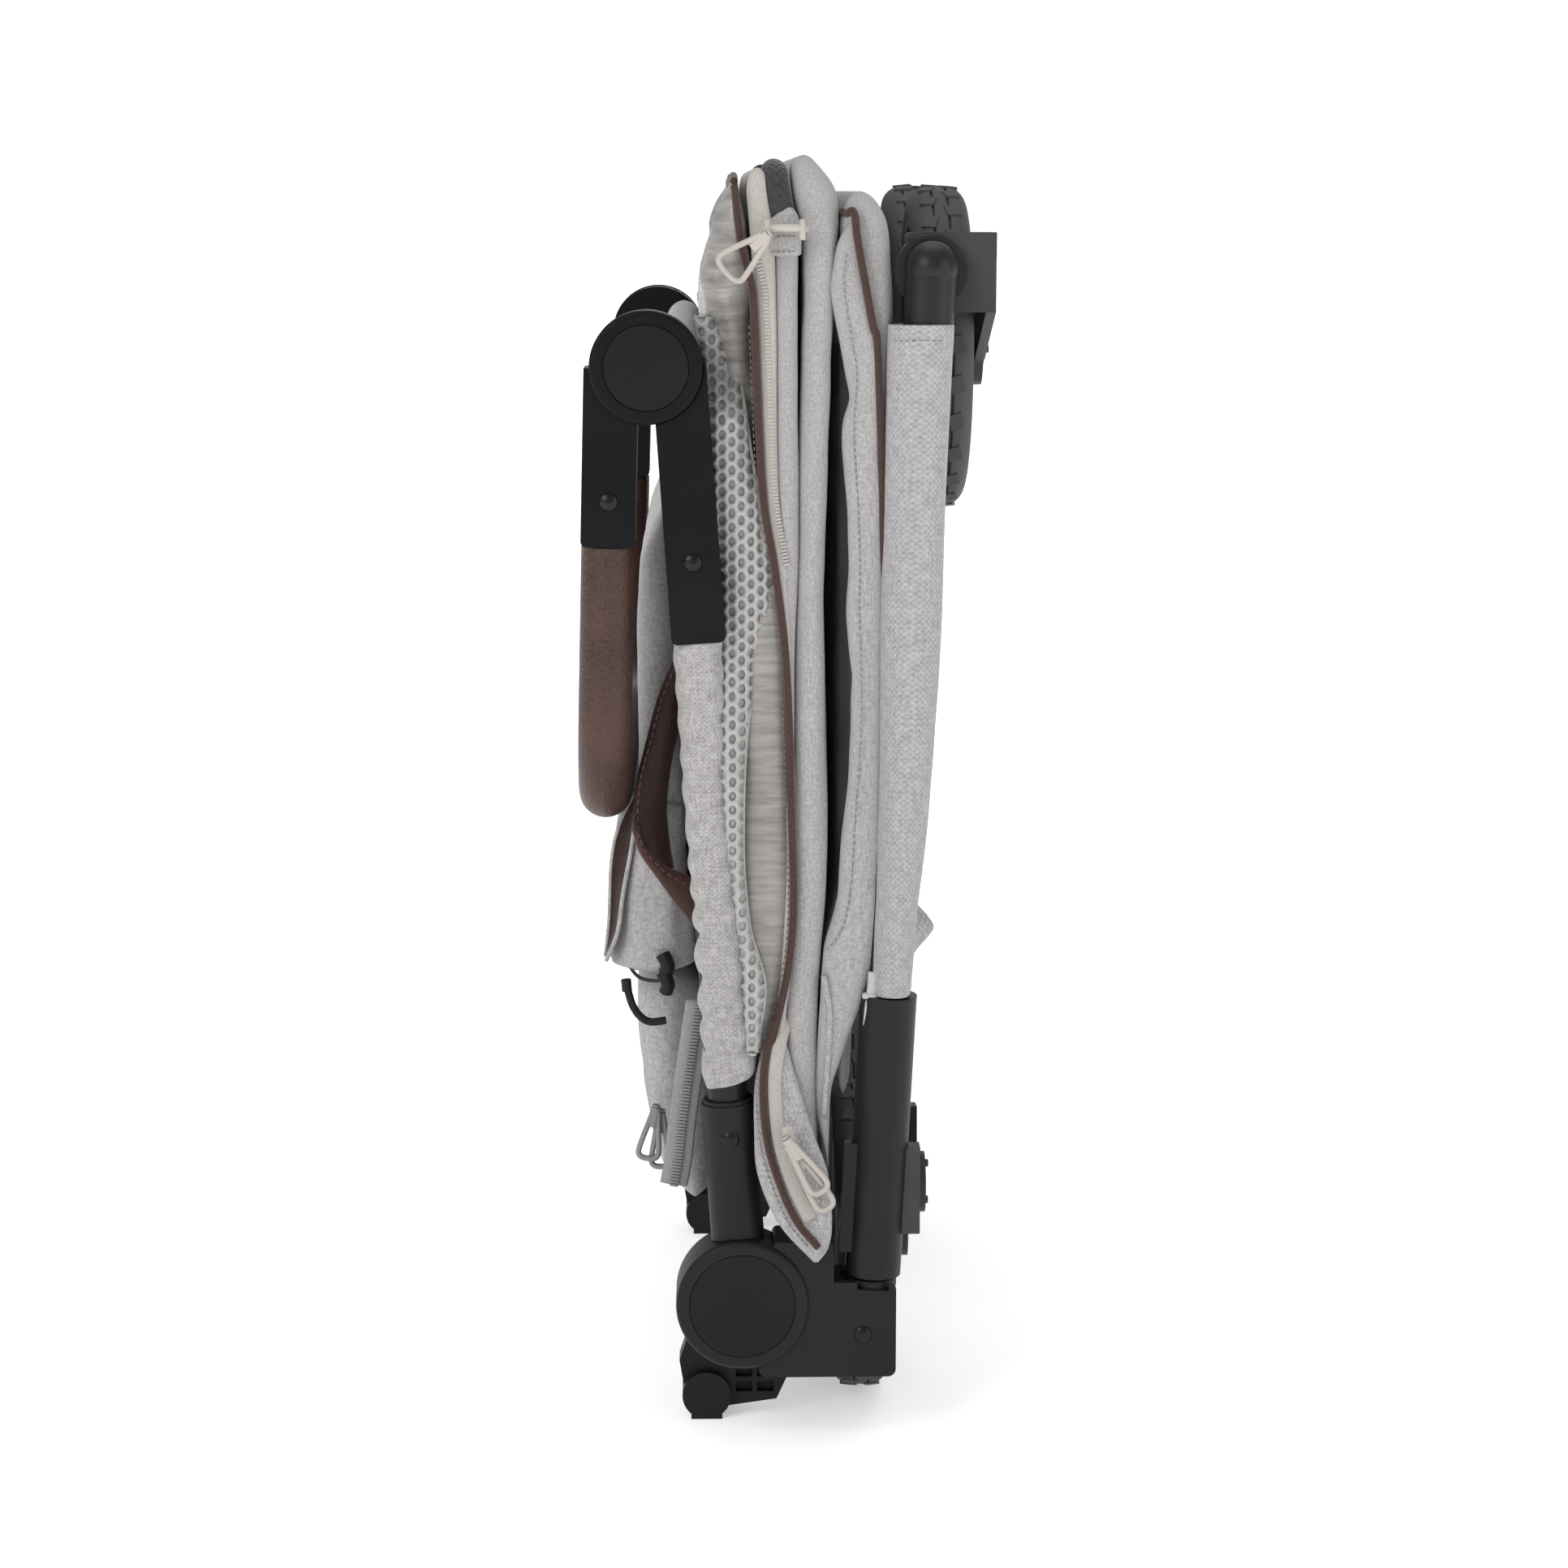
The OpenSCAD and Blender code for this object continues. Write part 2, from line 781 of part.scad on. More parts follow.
// ---- zip pulls: a flat ring that hangs from its slider ----
module zip_pull(x, y, z, lean) {
    translate([x, -y, z])
        rotate([0, lean, 0])
            plate(-0.8, 0.8)
                difference() {
                    round_rect(-5, -29, 5, 3, 2.5);
                    round_rect(-2.6, -26, 2.6, -11, 2);
                    circle(1.3, $fn = 32);
                }
}

pull_y = side_y + 2;
hood_pull = [joint_x + 58, pull_y, joint_z + 65];
canopy_pull = [hub_x + 22, pull_y, pack_low_z + 43];
pocket_pull = [hub_x - 53, soft_y - 65, hub_z + 107];

module zip_pull_hood() {
    color("#9a9794")
        zip_pull(hood_pull[0], hood_pull[1], hood_pull[2], 40);
}

module zip_pull_canopy() {
    color("#cfc9c2")
        zip_pull(canopy_pull[0], canopy_pull[1], canopy_pull[2], -28);
}

module zip_pull_pocket() {
    color("#9a9794")
        zip_pull(pocket_pull[0], pocket_pull[1], pocket_pull[2], 0);
}

hub();  // hub_right
on_left() hub();  // hub_left
hub_cover();  // hub_cover_right
on_left() hub_cover();  // hub_cover_left
hub_pins();
seat_tube();  // seat_tube_right
on_left() seat_tube();  // seat_tube_left
rear_crossbar();
front_crossbar();
stand_foot();  // stand_foot_right
on_left() stand_foot();  // stand_foot_left
seat_sleeves();
seat_pad();
frame_rivets();
handle_socket();  // handle_socket_right
on_left() handle_socket();  // handle_socket_left
handle_tube();  // handle_tube_right
on_left() handle_tube();  // handle_tube_left
lower_arm();  // lower_arm_right
on_left() lower_arm();  // lower_arm_left
handle_sleeves();
backrest();
back_pocket();
canopy_pack();
carry_strap();
net_loop();
strap_hook();
handle_rivets();
upper_arm();  // upper_arm_right
on_left() upper_arm();  // upper_arm_left
joint_cover();  // joint_cover_right
on_left() joint_cover();  // joint_cover_left
joint_pins();
bar_tube();
leather_grip();
bar_rivets();
rear_leg();  // rear_leg_right
on_left() rear_leg();  // rear_leg_left
rear_bracket();  // rear_bracket_right
on_left() rear_bracket();  // rear_bracket_left
brake_pedal();  // brake_pedal_right
on_left() brake_pedal();  // brake_pedal_left
front_leg();  // front_leg_right
on_left() front_leg();  // front_leg_left
caster_fork(0);  // caster_fork_right
on_left() caster_fork(-left_caster_hang);  // caster_fork_left
king_pin();  // king_pin_right
on_left() king_pin();  // king_pin_left
rear_tyre();  // rear_tyre_right
on_left() rear_tyre();  // rear_tyre_left
rear_rim();  // rear_rim_right
on_left() rear_rim();  // rear_rim_left
front_tyre(0);  // front_tyre_right
on_left() front_tyre(-left_caster_hang);  // front_tyre_left
front_rim(0);  // front_rim_right
on_left() front_rim(-left_caster_hang);  // front_rim_left
zip_pull_hood();
zip_pull_canopy();
zip_pull_pocket();
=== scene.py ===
# Compact folding stroller, folded and standing on end: soft goods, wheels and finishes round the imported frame.
import math

import bmesh
import bpy
from mathutils import Matrix, Vector, noise


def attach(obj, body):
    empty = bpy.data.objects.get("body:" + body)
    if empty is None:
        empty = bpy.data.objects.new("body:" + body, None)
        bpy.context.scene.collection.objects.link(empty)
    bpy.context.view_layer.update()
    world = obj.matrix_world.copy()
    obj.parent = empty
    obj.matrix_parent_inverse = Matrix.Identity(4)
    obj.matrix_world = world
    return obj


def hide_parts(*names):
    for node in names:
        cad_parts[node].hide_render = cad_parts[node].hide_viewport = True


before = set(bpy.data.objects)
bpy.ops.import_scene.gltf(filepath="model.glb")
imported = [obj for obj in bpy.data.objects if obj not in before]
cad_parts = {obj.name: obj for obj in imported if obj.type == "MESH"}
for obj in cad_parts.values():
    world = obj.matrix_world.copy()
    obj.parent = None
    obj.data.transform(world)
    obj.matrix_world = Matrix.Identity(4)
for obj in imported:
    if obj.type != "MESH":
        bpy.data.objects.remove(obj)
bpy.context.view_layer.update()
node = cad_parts

hub = {"x": -23.4, "z": 78.6, "lean": 3.9}  # mm and degrees, as in the part
tubeReach = 203.0  # mm from the middle to the axis of each tube, as in the part
bothSides = (("Right", -1), ("Left", 1))
print("frame loaded:", len(node), "nodes")

view = {"place": (-0.0387, -1.8, 0.6232), "tilt": 10.1, "yaw": 1.3, "lens": 76.47, "sensor": 36}
light = {
    "skyStrength": 0.5, "skySeen": 1.02, "aim": (0, 0, 0.32),
    "keyPower": 21, "keyPlace": (-1.2, -1.6, 1.5), "keySize": 1.1,
    "fillPower": 9, "fillPlace": (1.7, -1.2, 0.9), "fillSize": 1.3,
    "topPower": 12, "topPlace": (0.1, 0.2, 2.4), "topSize": 1.6,
    "backPower": 6, "backPlace": (0.5, 2.2, 1.2), "backSize": 1.6,
}


def softBox(name, power, place, size):
    bpy.ops.object.light_add(type="AREA", location=place)
    lamp = bpy.context.object
    lamp.name = name
    lamp.data.energy = power
    lamp.data.size = size
    lamp.rotation_euler = (Vector(light["aim"]) - Vector(place)).to_track_quat("-Z", "Y").to_euler()


bpy.ops.object.camera_add(
    location=view["place"],
    rotation=(math.radians(90 - view["tilt"]), 0, math.radians(-view["yaw"])),
)
bpy.context.object.data.lens = view["lens"]
bpy.context.object.data.sensor_width = view["sensor"]
bpy.context.scene.camera = bpy.context.object
for lampName in ("key", "fill", "top", "back"):
    softBox(
        lampName + "Light", light[lampName + "Power"], light[lampName + "Place"], light[lampName + "Size"]
    )
sky = bpy.data.worlds.new("studioSky")
sky.use_nodes = True
sky.node_tree.nodes["Background"].inputs["Color"].default_value = (1, 1, 1, 1)
bpy.context.scene.world = sky
bpy.context.scene.view_settings.view_transform = "Standard"
print("camera and lights placed")


def toLinear(colour):
    channels = [int(colour[i:i + 2], 16) / 255 for i in (1, 3, 5)]
    return [c / 12.92 if c <= 0.04045 else ((c + 0.055) / 1.055) ** 2.4 for c in channels] + [1]


def addNode(tree, kind, settings=None, links=None):
    made = tree.nodes.new(kind)
    for key, value in (settings or {}).items():
        if isinstance(key, int) or key in made.inputs:
            made.inputs[key].default_value = value
        else:
            setattr(made, key, value)
    for key, source in (links or {}).items():
        tree.links.new(source, made.inputs[key])
    return made


seen = addNode(sky.node_tree, "ShaderNodeLightPath")  # the paper behind is white, and lights the stroller less
skyLevel = addNode(
    sky.node_tree, "ShaderNodeMapRange", {"To Min": light["skyStrength"], "To Max": light["skySeen"]},
    {"Value": seen.outputs["Is Camera Ray"]},
)
sky.node_tree.links.new(skyLevel.outputs[0], sky.node_tree.nodes["Background"].inputs["Strength"])


def newMaterial(name, **sockets):
    material = bpy.data.materials.new(name)
    material.use_nodes = True
    shader = material.node_tree.nodes["Principled BSDF"]
    for key, value in sockets.items():
        shader.inputs[key.replace("_", " ")].default_value = value
    return material, material.node_tree, shader


def pickColour(tree, factor, first, second, low=0.3, high=0.7):
    ramp = addNode(tree, "ShaderNodeValToRGB", links={"Fac": factor})
    ramp.color_ramp.elements[0].position = low
    ramp.color_ramp.elements[0].color = toLinear(first)
    ramp.color_ramp.elements[1].position = high
    ramp.color_ramp.elements[1].color = toLinear(second)
    return ramp.outputs["Color"]


def wovenCloth(name, light, dark, pitch, relief=0.4, roughness=0.9, sheen=0.15, streak=0.2):
    # threads cross at the pitch given in metres, and each thread changes shade along its length
    material, tree, shader = newMaterial(name, Roughness=roughness, Sheen_Weight=sheen, Sheen_Roughness=0.5)
    uv = addNode(tree, "ShaderNodeUVMap", {"uv_map": "UVMap"}).outputs["UV"]
    shades = []
    waves = []
    for axis, scale in (("X", (1 / pitch, streak / pitch, 1)), ("Y", (streak / pitch, 1 / pitch, 1))):
        place = addNode(tree, "ShaderNodeMapping", {"Scale": scale}, {"Vector": uv})
        shades.append(
            addNode(tree, "ShaderNodeTexNoise", {"Scale": 1.0, "Detail": 2.0}, {"Vector": place.outputs[0]})
        )
        waves.append(
            addNode(
                tree, "ShaderNodeTexWave", {"bands_direction": axis, "Scale": math.pi / (20 * pitch)},
                {"Vector": uv},
            )
        )
    both = addNode(
        tree, "ShaderNodeMath", {"operation": "ADD"},
        {0: shades[0].outputs["Fac"], 1: shades[1].outputs["Fac"]},
    )
    half = addNode(tree, "ShaderNodeMath", {"operation": "MULTIPLY", 1: 0.5}, {0: both.outputs[0]})
    colour = pickColour(tree, half.outputs[0], dark, light, 0.33, 0.62)
    pair = {0: waves[0].outputs["Fac"], 1: waves[1].outputs["Fac"]}
    over = addNode(tree, "ShaderNodeMath", {"operation": "MULTIPLY"}, pair)
    either = addNode(tree, "ShaderNodeMath", {"operation": "ADD"}, pair)
    under = addNode(tree, "ShaderNodeMath", {"operation": "MULTIPLY", 1: 2.0}, {0: over.outputs[0]})
    crossing = addNode(
        tree, "ShaderNodeMath", {"operation": "SUBTRACT"}, {0: either.outputs[0], 1: under.outputs[0]}
    )
    shadow = addNode(
        tree, "ShaderNodeMapRange", {"From Min": 0.0, "From Max": 1.0, "To Min": 0.8, "To Max": 1.08},
        {"Value": crossing.outputs[0]},
    )
    darkened = addNode(
        tree, "ShaderNodeVectorMath", {"operation": "SCALE"}, {0: colour, "Scale": shadow.outputs[0]}
    )
    tree.links.new(darkened.outputs[0], shader.inputs["Base Color"])
    bump = addNode(
        tree, "ShaderNodeBump", {"Strength": relief, "Distance": pitch * 0.35}, {"Height": crossing.outputs[0]}
    )
    tree.links.new(bump.outputs[0], shader.inputs["Normal"])
    return material


def mouldedPlastic(name, colour, worn, grain, roughness, relief=0.15, edge=0.0007, gloss=0.5):
    # injection-moulded plastic: an even colour, a fine spark-eroded grain, and softly rounded edges
    material, tree, shader = newMaterial(name, Roughness=roughness, Specular_IOR_Level=gloss)
    place = addNode(tree, "ShaderNodeTexCoord").outputs["Object"]
    cloud = addNode(tree, "ShaderNodeTexNoise", {"Scale": 22.0, "Detail": 5.0}, {"Vector": place})
    tree.links.new(
        pickColour(tree, cloud.outputs["Fac"], colour, worn, 0.35, 0.8), shader.inputs["Base Color"]
    )
    rough = addNode(
        tree, "ShaderNodeMapRange", {"To Min": roughness - 0.06, "To Max": roughness + 0.08},
        {"Value": cloud.outputs["Fac"]},
    )
    tree.links.new(rough.outputs[0], shader.inputs["Roughness"])
    spark = addNode(tree, "ShaderNodeTexNoise", {"Scale": 1 / grain, "Detail": 3.0}, {"Vector": place})
    rounded = addNode(tree, "ShaderNodeBevel", {"samples": 4, "Radius": edge})
    bump = addNode(
        tree, "ShaderNodeBump", {"Strength": relief, "Distance": grain * 0.25},
        {"Height": spark.outputs["Fac"], "Normal": rounded.outputs[0]},
    )
    tree.links.new(bump.outputs[0], shader.inputs["Normal"])
    return material


def pebbledLeather(name, colour, dark, pebble):
    # coated leather: rounded pebbles about a millimetre across, with darker valleys and a low sheen
    material, tree, shader = newMaterial(name, Roughness=0.48, Specular_IOR_Level=0.28)
    place = addNode(tree, "ShaderNodeTexCoord").outputs["Object"]
    cell = addNode(
        tree, "ShaderNodeTexVoronoi", {"feature": "SMOOTH_F1", "Scale": 1 / pebble, "Smoothness": 0.6},
        {"Vector": place},
    )
    cloud = addNode(tree, "ShaderNodeTexNoise", {"Scale": 30.0, "Detail": 4.0}, {"Vector": place})
    mix = addNode(
        tree, "ShaderNodeMath", {"operation": "MULTIPLY_ADD", 1: 0.45},
        {0: cell.outputs["Distance"], 2: cloud.outputs["Fac"]},
    )
    tree.links.new(pickColour(tree, mix.outputs[0], colour, dark, 0.5, 0.95), shader.inputs["Base Color"])
    bump = addNode(
        tree, "ShaderNodeBump", {"Strength": 0.55, "Distance": pebble * 0.35, "invert": True},
        {"Height": cell.outputs["Distance"]},
    )
    tree.links.new(bump.outputs[0], shader.inputs["Normal"])
    return material


def clothMaterial(name, first, second, scale, roughness, relief, distance, sheen=0.0):
    # fine knitted or satin cloth: soft shading with a small crinkle
    material, tree, shader = newMaterial(name, Roughness=roughness, Sheen_Weight=sheen)
    place = addNode(tree, "ShaderNodeTexCoord").outputs["Object"]
    stretch = addNode(tree, "ShaderNodeMapping", {"Scale": scale}, {"Vector": place})
    crinkle = addNode(
        tree, "ShaderNodeTexNoise", {"Scale": 1.0, "Detail": 4.0}, {"Vector": stretch.outputs[0]}
    )
    tree.links.new(pickColour(tree, crinkle.outputs["Fac"], first, second), shader.inputs["Base Color"])
    bump = addNode(
        tree, "ShaderNodeBump", {"Strength": relief, "Distance": distance}, {"Height": crinkle.outputs["Fac"]}
    )
    tree.links.new(bump.outputs[0], shader.inputs["Normal"])
    return material


def turnedMetal(name, colour, roughness):
    # turned steel: fine rings left by the tool, seen only as a soft change in gloss
    material, tree, shader = newMaterial(name, Metallic=1.0, Roughness=roughness)
    shader.inputs["Base Color"].default_value = toLinear(colour)
    place = addNode(tree, "ShaderNodeTexCoord").outputs["Object"]
    scuff = addNode(tree, "ShaderNodeTexNoise", {"Scale": 180.0, "Detail": 3.0}, {"Vector": place})
    rough = addNode(
        tree, "ShaderNodeMapRange", {"To Min": roughness - 0.08, "To Max": roughness + 0.12},
        {"Value": scuff.outputs["Fac"]},
    )
    tree.links.new(rough.outputs[0], shader.inputs["Roughness"])
    return material


weavePitch = 0.0012  # threads are really about 0.9 mm apart, drawn coarser so that they show
melangeCloth = wovenCloth("melangePolyesterWeave", "#ADABAB", "#858282", weavePitch)
# a lighter copy of the melange weave with painted light, used on the roll collar and the seat's top panel
litMelangeCloth = wovenCloth("melangeWeaveInLight", "#AEACAB", "#8A8887", weavePitch)
coarseCloth = wovenCloth("coarseBasketWeave", "#A8A6A7", "#8B898A", 0.0015, relief=0.8)
sleeveCloth = wovenCloth("gatheredMelangeWeave", "#AAA8A7", "#83807F", weavePitch)
hemCloth = wovenCloth("foldedHemWeave", "#ADABAB", "#858282", weavePitch)
brownLining = clothMaterial("brownNylonLining", "#35241F", "#271A16", (400, 400, 400), 0.5, 0.2, 0.0004, 0.1)
# one brown satin webbing drawn twice: a darker copy with painted shade for the strap's upper run, and a lighter
# copy with painted light for its lower run
shadedStrapWebbing = clothMaterial("brownSatinWebbing", "#2C1C19", "#1E1210", (900, 900, 60), 0.42, 0.25, 0.0004, 0.1)
litStrapWebbing = clothMaterial(
    "brownSatinWebbingPaintedLight", "#432E29", "#362421", (900, 900, 60), 0.45, 0.25, 0.0004, 0.1
)
silverSatin = clothMaterial("silverCoatedSatin", "#938F8B", "#787471", (60, 60, 420), 0.33, 0.6, 0.0012)
silverLining = clothMaterial("silverCoatedCrumple", "#989592", "#706D6B", (45, 45, 260), 0.3, 0.55, 0.0016)
pipingCord = clothMaterial("brownWovenPiping", "#4A3833", "#382925", (900, 900, 900), 0.75, 0.3, 0.0003, 0.2)
zipTape = clothMaterial("beigeZipTape", "#ABA6A0", "#9C9792", (1400, 1400, 500), 0.8, 0.3, 0.0003, 0.1)
greyTape = clothMaterial("greyZipTape", "#8E8C8A", "#7A7876", (1400, 1400, 500), 0.75, 0.3, 0.0003, 0.1)
bowWeave = wovenCloth("blackBraidedSleeve", "#26272A", "#0B0C0D", 0.0019, relief=1.0, roughness=0.6)
spacerKnit = clothMaterial("spacerKnit", "#ABABA9", "#949492", (900, 900, 900), 0.7, 0.4, 0.0003, 0.2)
spacerFloor = clothMaterial("spacerKnitFloor", "#9C9B99", "#888786", (900, 900, 900), 0.85, 0.3, 0.0003)
blackMesh = clothMaterial("blackNylonMesh", "#1B1B1D", "#0E0E0F", (700, 700, 700), 0.6, 0.5, 0.0006)
seamThread = clothMaterial("polyesterThread", "#7A7673", "#66625F", (2000, 2000, 2000), 0.6, 0.2, 0.0001)
brownThread = clothMaterial(
    "brownPolyesterThread", "#6B5049", "#57403A", (2000, 2000, 2000), 0.6, 0.2, 0.0001
)
gripLeather = pebbledLeather("pebbledCoatedLeather", "#48322B", "#33221D", 0.0016)
armPlastic = mouldedPlastic("satinNylonArm", "#0B0D0F", "#131518", 0.0006, 0.42, gloss=0.1)
hubPlastic = mouldedPlastic("mattNylonHub", "#171517", "#1F1D1F", 0.0007, 0.5, gloss=0.2)
coverPlastic = mouldedPlastic("satinHubCover", "#0C0B0C", "#131213", 0.0005, 0.36, gloss=0.18)
sleevePlastic = mouldedPlastic("mattLegSleeve", "#151416", "#1C1B1D", 0.0006, 0.45, gloss=0.22)
forkPlastic = mouldedPlastic("glassFilledNylonFork", "#363537", "#414042", 0.0008, 0.5, gloss=0.2)
capPlastic = mouldedPlastic("smoothLegCap", "#171618", "#201F21", 0.0006, 0.38, gloss=0.25)
pedalPlastic = mouldedPlastic("mattPedal", "#111112", "#1A1A1B", 0.0007, 0.5, gloss=0.2)
clipPlastic = mouldedPlastic("paleAcetalClip", "#A4A4A6", "#B4B4B6", 0.0006, 0.4)
pullPlastic = mouldedPlastic("beigePaintedPull", "#A29C95", "#AEA8A0", 0.0004, 0.35)
greyPull = mouldedPlastic("greyPaintedPull", "#747270", "#858381", 0.0004, 0.35)
tyreRubber = mouldedPlastic("tyreRubber", "#39383A", "#474648", 0.0009, 0.72, relief=0.3, gloss=0.35)
rimPlastic = mouldedPlastic("mattRim", "#232224", "#2E2D2F", 0.0008, 0.5)
blackTube = mouldedPlastic("powderCoatedTube", "#131416", "#1B1C1E", 0.0005, 0.36, gloss=0.22)
rivetPaint = mouldedPlastic("blackPaintedRivet", "#0A0A0A", "#111111", 0.0004, 0.3, relief=0.05, gloss=0.25)
elasticCord = clothMaterial("braidedElastic", "#1E1E1F", "#121213", (1500, 1500, 1500), 0.6, 0.5, 0.0003)
pinSteel = turnedMetal("turnedSteelPin", "#B9BCC0", 0.3)
for satin in (shadedStrapWebbing, litStrapWebbing, brownLining, pipingCord):
    satin.node_tree.nodes["Principled BSDF"].inputs["Specular IOR Level"].default_value = 0.12
print("materials made")

pairFinish = {
    "hub": hubPlastic, "hub_cover": coverPlastic, "seat_tube": blackTube, "stand_foot": pedalPlastic,
    "handle_socket": hubPlastic, "handle_tube": blackTube, "lower_arm": armPlastic, "upper_arm": armPlastic,
    "joint_cover": coverPlastic, "rear_leg": sleevePlastic, "rear_bracket": forkPlastic,
    "brake_pedal": pedalPlastic, "front_leg": capPlastic, "caster_fork": forkPlastic, "king_pin": pinSteel,
    "rear_tyre": tyreRubber, "front_tyre": tyreRubber, "rear_rim": rimPlastic, "front_rim": rimPlastic,
}
cadFinish = {
    "hub_pins": pinSteel, "joint_pins": pinSteel, "rear_crossbar": blackTube, "front_crossbar": blackTube,
    "frame_rivets": rivetPaint, "handle_rivets": rivetPaint, "bar_rivets": rivetPaint, "bar_tube": blackTube,
    "leather_grip": gripLeather, "net_loop": elasticCord, "strap_hook": pedalPlastic,
    "zip_pull_hood": greyPull, "zip_pull_canopy": pullPlastic, "zip_pull_pocket": greyPull,
}
for nodeName, finish in pairFinish.items():
    cadFinish[nodeName + "_right"] = cadFinish[nodeName + "_left"] = finish
for nodeName, finish in cadFinish.items():
    surface = node[nodeName].data
    surface.materials.clear()
    surface.materials.append(finish)
    surface.shade_smooth()
print("frame parts finished")


def deselectAll():
    bpy.ops.object.select_all(action="DESELECT")


def ridden(piece, body, replaced=None):
    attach(piece, body)
    if replaced:
        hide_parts(replaced)
    return piece


def inHandle(x, z):
    # from the leaning handle frame to the upright one, in mm
    lean = math.radians(hub["lean"])
    return (
        hub["x"] + x * math.cos(lean) - z * math.sin(lean),
        hub["z"] + x * math.sin(lean) + z * math.cos(lean),
    )


def smoothTrack(points):
    # a smooth value along a line of (place, value) pairs
    points = sorted(points)
    places = [p[0] for p in points]
    values = [p[1] for p in points]
    last = len(points) - 1
    slopes = []
    for i in range(last + 1):
        a, b = max(i - 1, 0), min(i + 1, last)
        slopes.append((values[b] - values[a]) / (places[b] - places[a]))

    def valueAt(place):
        if place <= places[0]:
            return values[0]
        if place >= places[last]:
            return values[last]
        i = max(k for k in range(last) if places[k] <= place)
        span = places[i + 1] - places[i]
        t = (place - places[i]) / span
        return (
            (2 * t ** 3 - 3 * t ** 2 + 1) * values[i] + (t ** 3 - 2 * t ** 2 + t) * span * slopes[i]
            + (3 * t ** 2 - 2 * t ** 3) * values[i + 1] + (t ** 3 - t ** 2) * span * slopes[i + 1]
        )
    return valueAt


def smoothPath(points):
    # a smooth point along a line of points, for t from 0 to 1
    last = len(points) - 1
    tracks = [smoothTrack([(i / last, p[axis]) for i, p in enumerate(points)]) for axis in range(3)]
    return lambda t: Vector([track(t) for track in tracks])


def applyModifier(piece, kind, **settings):
    modifier = piece.modifiers.new(kind, kind)
    for key, value in settings.items():
        setattr(modifier, key, value)
    bpy.ops.object.modifier_apply(modifier=modifier.name)


def shapedGrid(name, across, along, place, size, finish, thickness=0.0, level=0):
    # a grid whose points are moved in code; place(u, v) is in mm, and size in mm is what the weave spans
    deselectAll()
    bpy.ops.mesh.primitive_grid_add(x_subdivisions=across, y_subdivisions=along, size=2)
    piece = bpy.context.object
    piece.name = name
    piece.data.name = name
    for vertex in piece.data.vertices:
        vertex.co = Vector(place((vertex.co.x + 1) / 2, (vertex.co.y + 1) / 2)) * 0.001
    for corner in piece.data.uv_layers[0].data:
        corner.uv = (corner.uv[0] * size[0] * 0.001, corner.uv[1] * size[1] * 0.001)
    bpy.ops.object.mode_set(mode="EDIT")
    bpy.ops.mesh.select_all(action="SELECT")
    bpy.ops.mesh.remove_doubles(threshold=0.00002)
    bpy.ops.mesh.normals_make_consistent(inside=False)
    bpy.ops.object.mode_set(mode="OBJECT")
    if thickness:
        applyModifier(piece, "SOLIDIFY", thickness=thickness * 0.001, offset=0)
    if level:
        applyModifier(piece, "SUBSURF", levels=level, render_levels=level)
    bpy.ops.object.shade_smooth()
    piece.data.materials.clear()
    piece.data.materials.append(finish)
    return piece


def cordPiece(name, points, radius, finish, body, replaced=None, sides=8, flat=1.0):
    # a round cord along a smooth line of points in mm, with closed ends
    path = smoothPath(points)
    steps = 8 * len(points)
    stops = [path(i / steps) for i in range(steps + 1)]
    frames = []
    up = Vector((0, 1, 0))
    for i in range(steps + 1):
        along = (stops[min(i + 1, steps)] - stops[max(i - 1, 0)]).normalized()
        side = up - along * up.dot(along)
        if side.length < 0.05:
            side = Vector((1, 0, 0)) - along * along.x
        side.normalize()
        up = side
        frames.append((side, along.cross(side)))

    def place(u, v):
        i = min(round(v * (steps + 2)) - 1, steps)
        ring = 0.0 if i < 0 or round(v * (steps + 2)) == steps + 2 else 1.0
        i = max(i, 0)
        angle = 2 * math.pi * u
        side, other = frames[i]
        return stops[i] + (side * math.cos(angle) * flat + other * math.sin(angle)) * radius * ring

    length = sum((stops[i + 1] - stops[i]).length for i in range(steps))
    cord = shapedGrid(name, sides, steps + 2, place, (2 * math.pi * radius, length), finish)
    return ridden(cord, body, replaced)


def meshPiece(name, mesh):
    piece = bpy.data.objects.new(name, bpy.data.meshes.new(name))
    mesh.to_mesh(piece.data)
    mesh.free()
    bpy.context.scene.collection.objects.link(piece)
    return piece


def copiesAlong(name, source, places):
    # one mesh made of copies of source, each put by its own matrix; source is removed
    mesh = bmesh.new()
    for matrix in places:
        start = len(mesh.verts)
        mesh.from_mesh(source.data)
        mesh.verts.ensure_lookup_table()
        for vertex in mesh.verts[start:]:
            vertex.co = matrix @ vertex.co
    made = meshPiece(name, mesh)
    for material in source.data.materials:
        made.data.materials.append(material)
    bpy.data.objects.remove(source)
    return made


def alongPath(points, pitch):
    # matrices spaced by pitch mm along a smooth line: X runs along it, and Z points to the side's outside
    path = smoothPath(points)
    fine = [path(i / 600) for i in range(601)]
    places = []
    travelled = pitch / 2
    for a, b in zip(fine, fine[1:]):
        step = (b - a).length
        while travelled <= step and step > 0:
            here = a.lerp(b, travelled / step)
            x = (b - a).normalized()
            z = Vector((0, -1, 0)) - x * -x.y
            z.normalize()
            y = z.cross(x)
            turn = Matrix((x, y, z)).transposed().to_4x4()
            places.append(Matrix.Translation(here * 0.001) @ turn)
            travelled += pitch
        travelled -= step
    return places


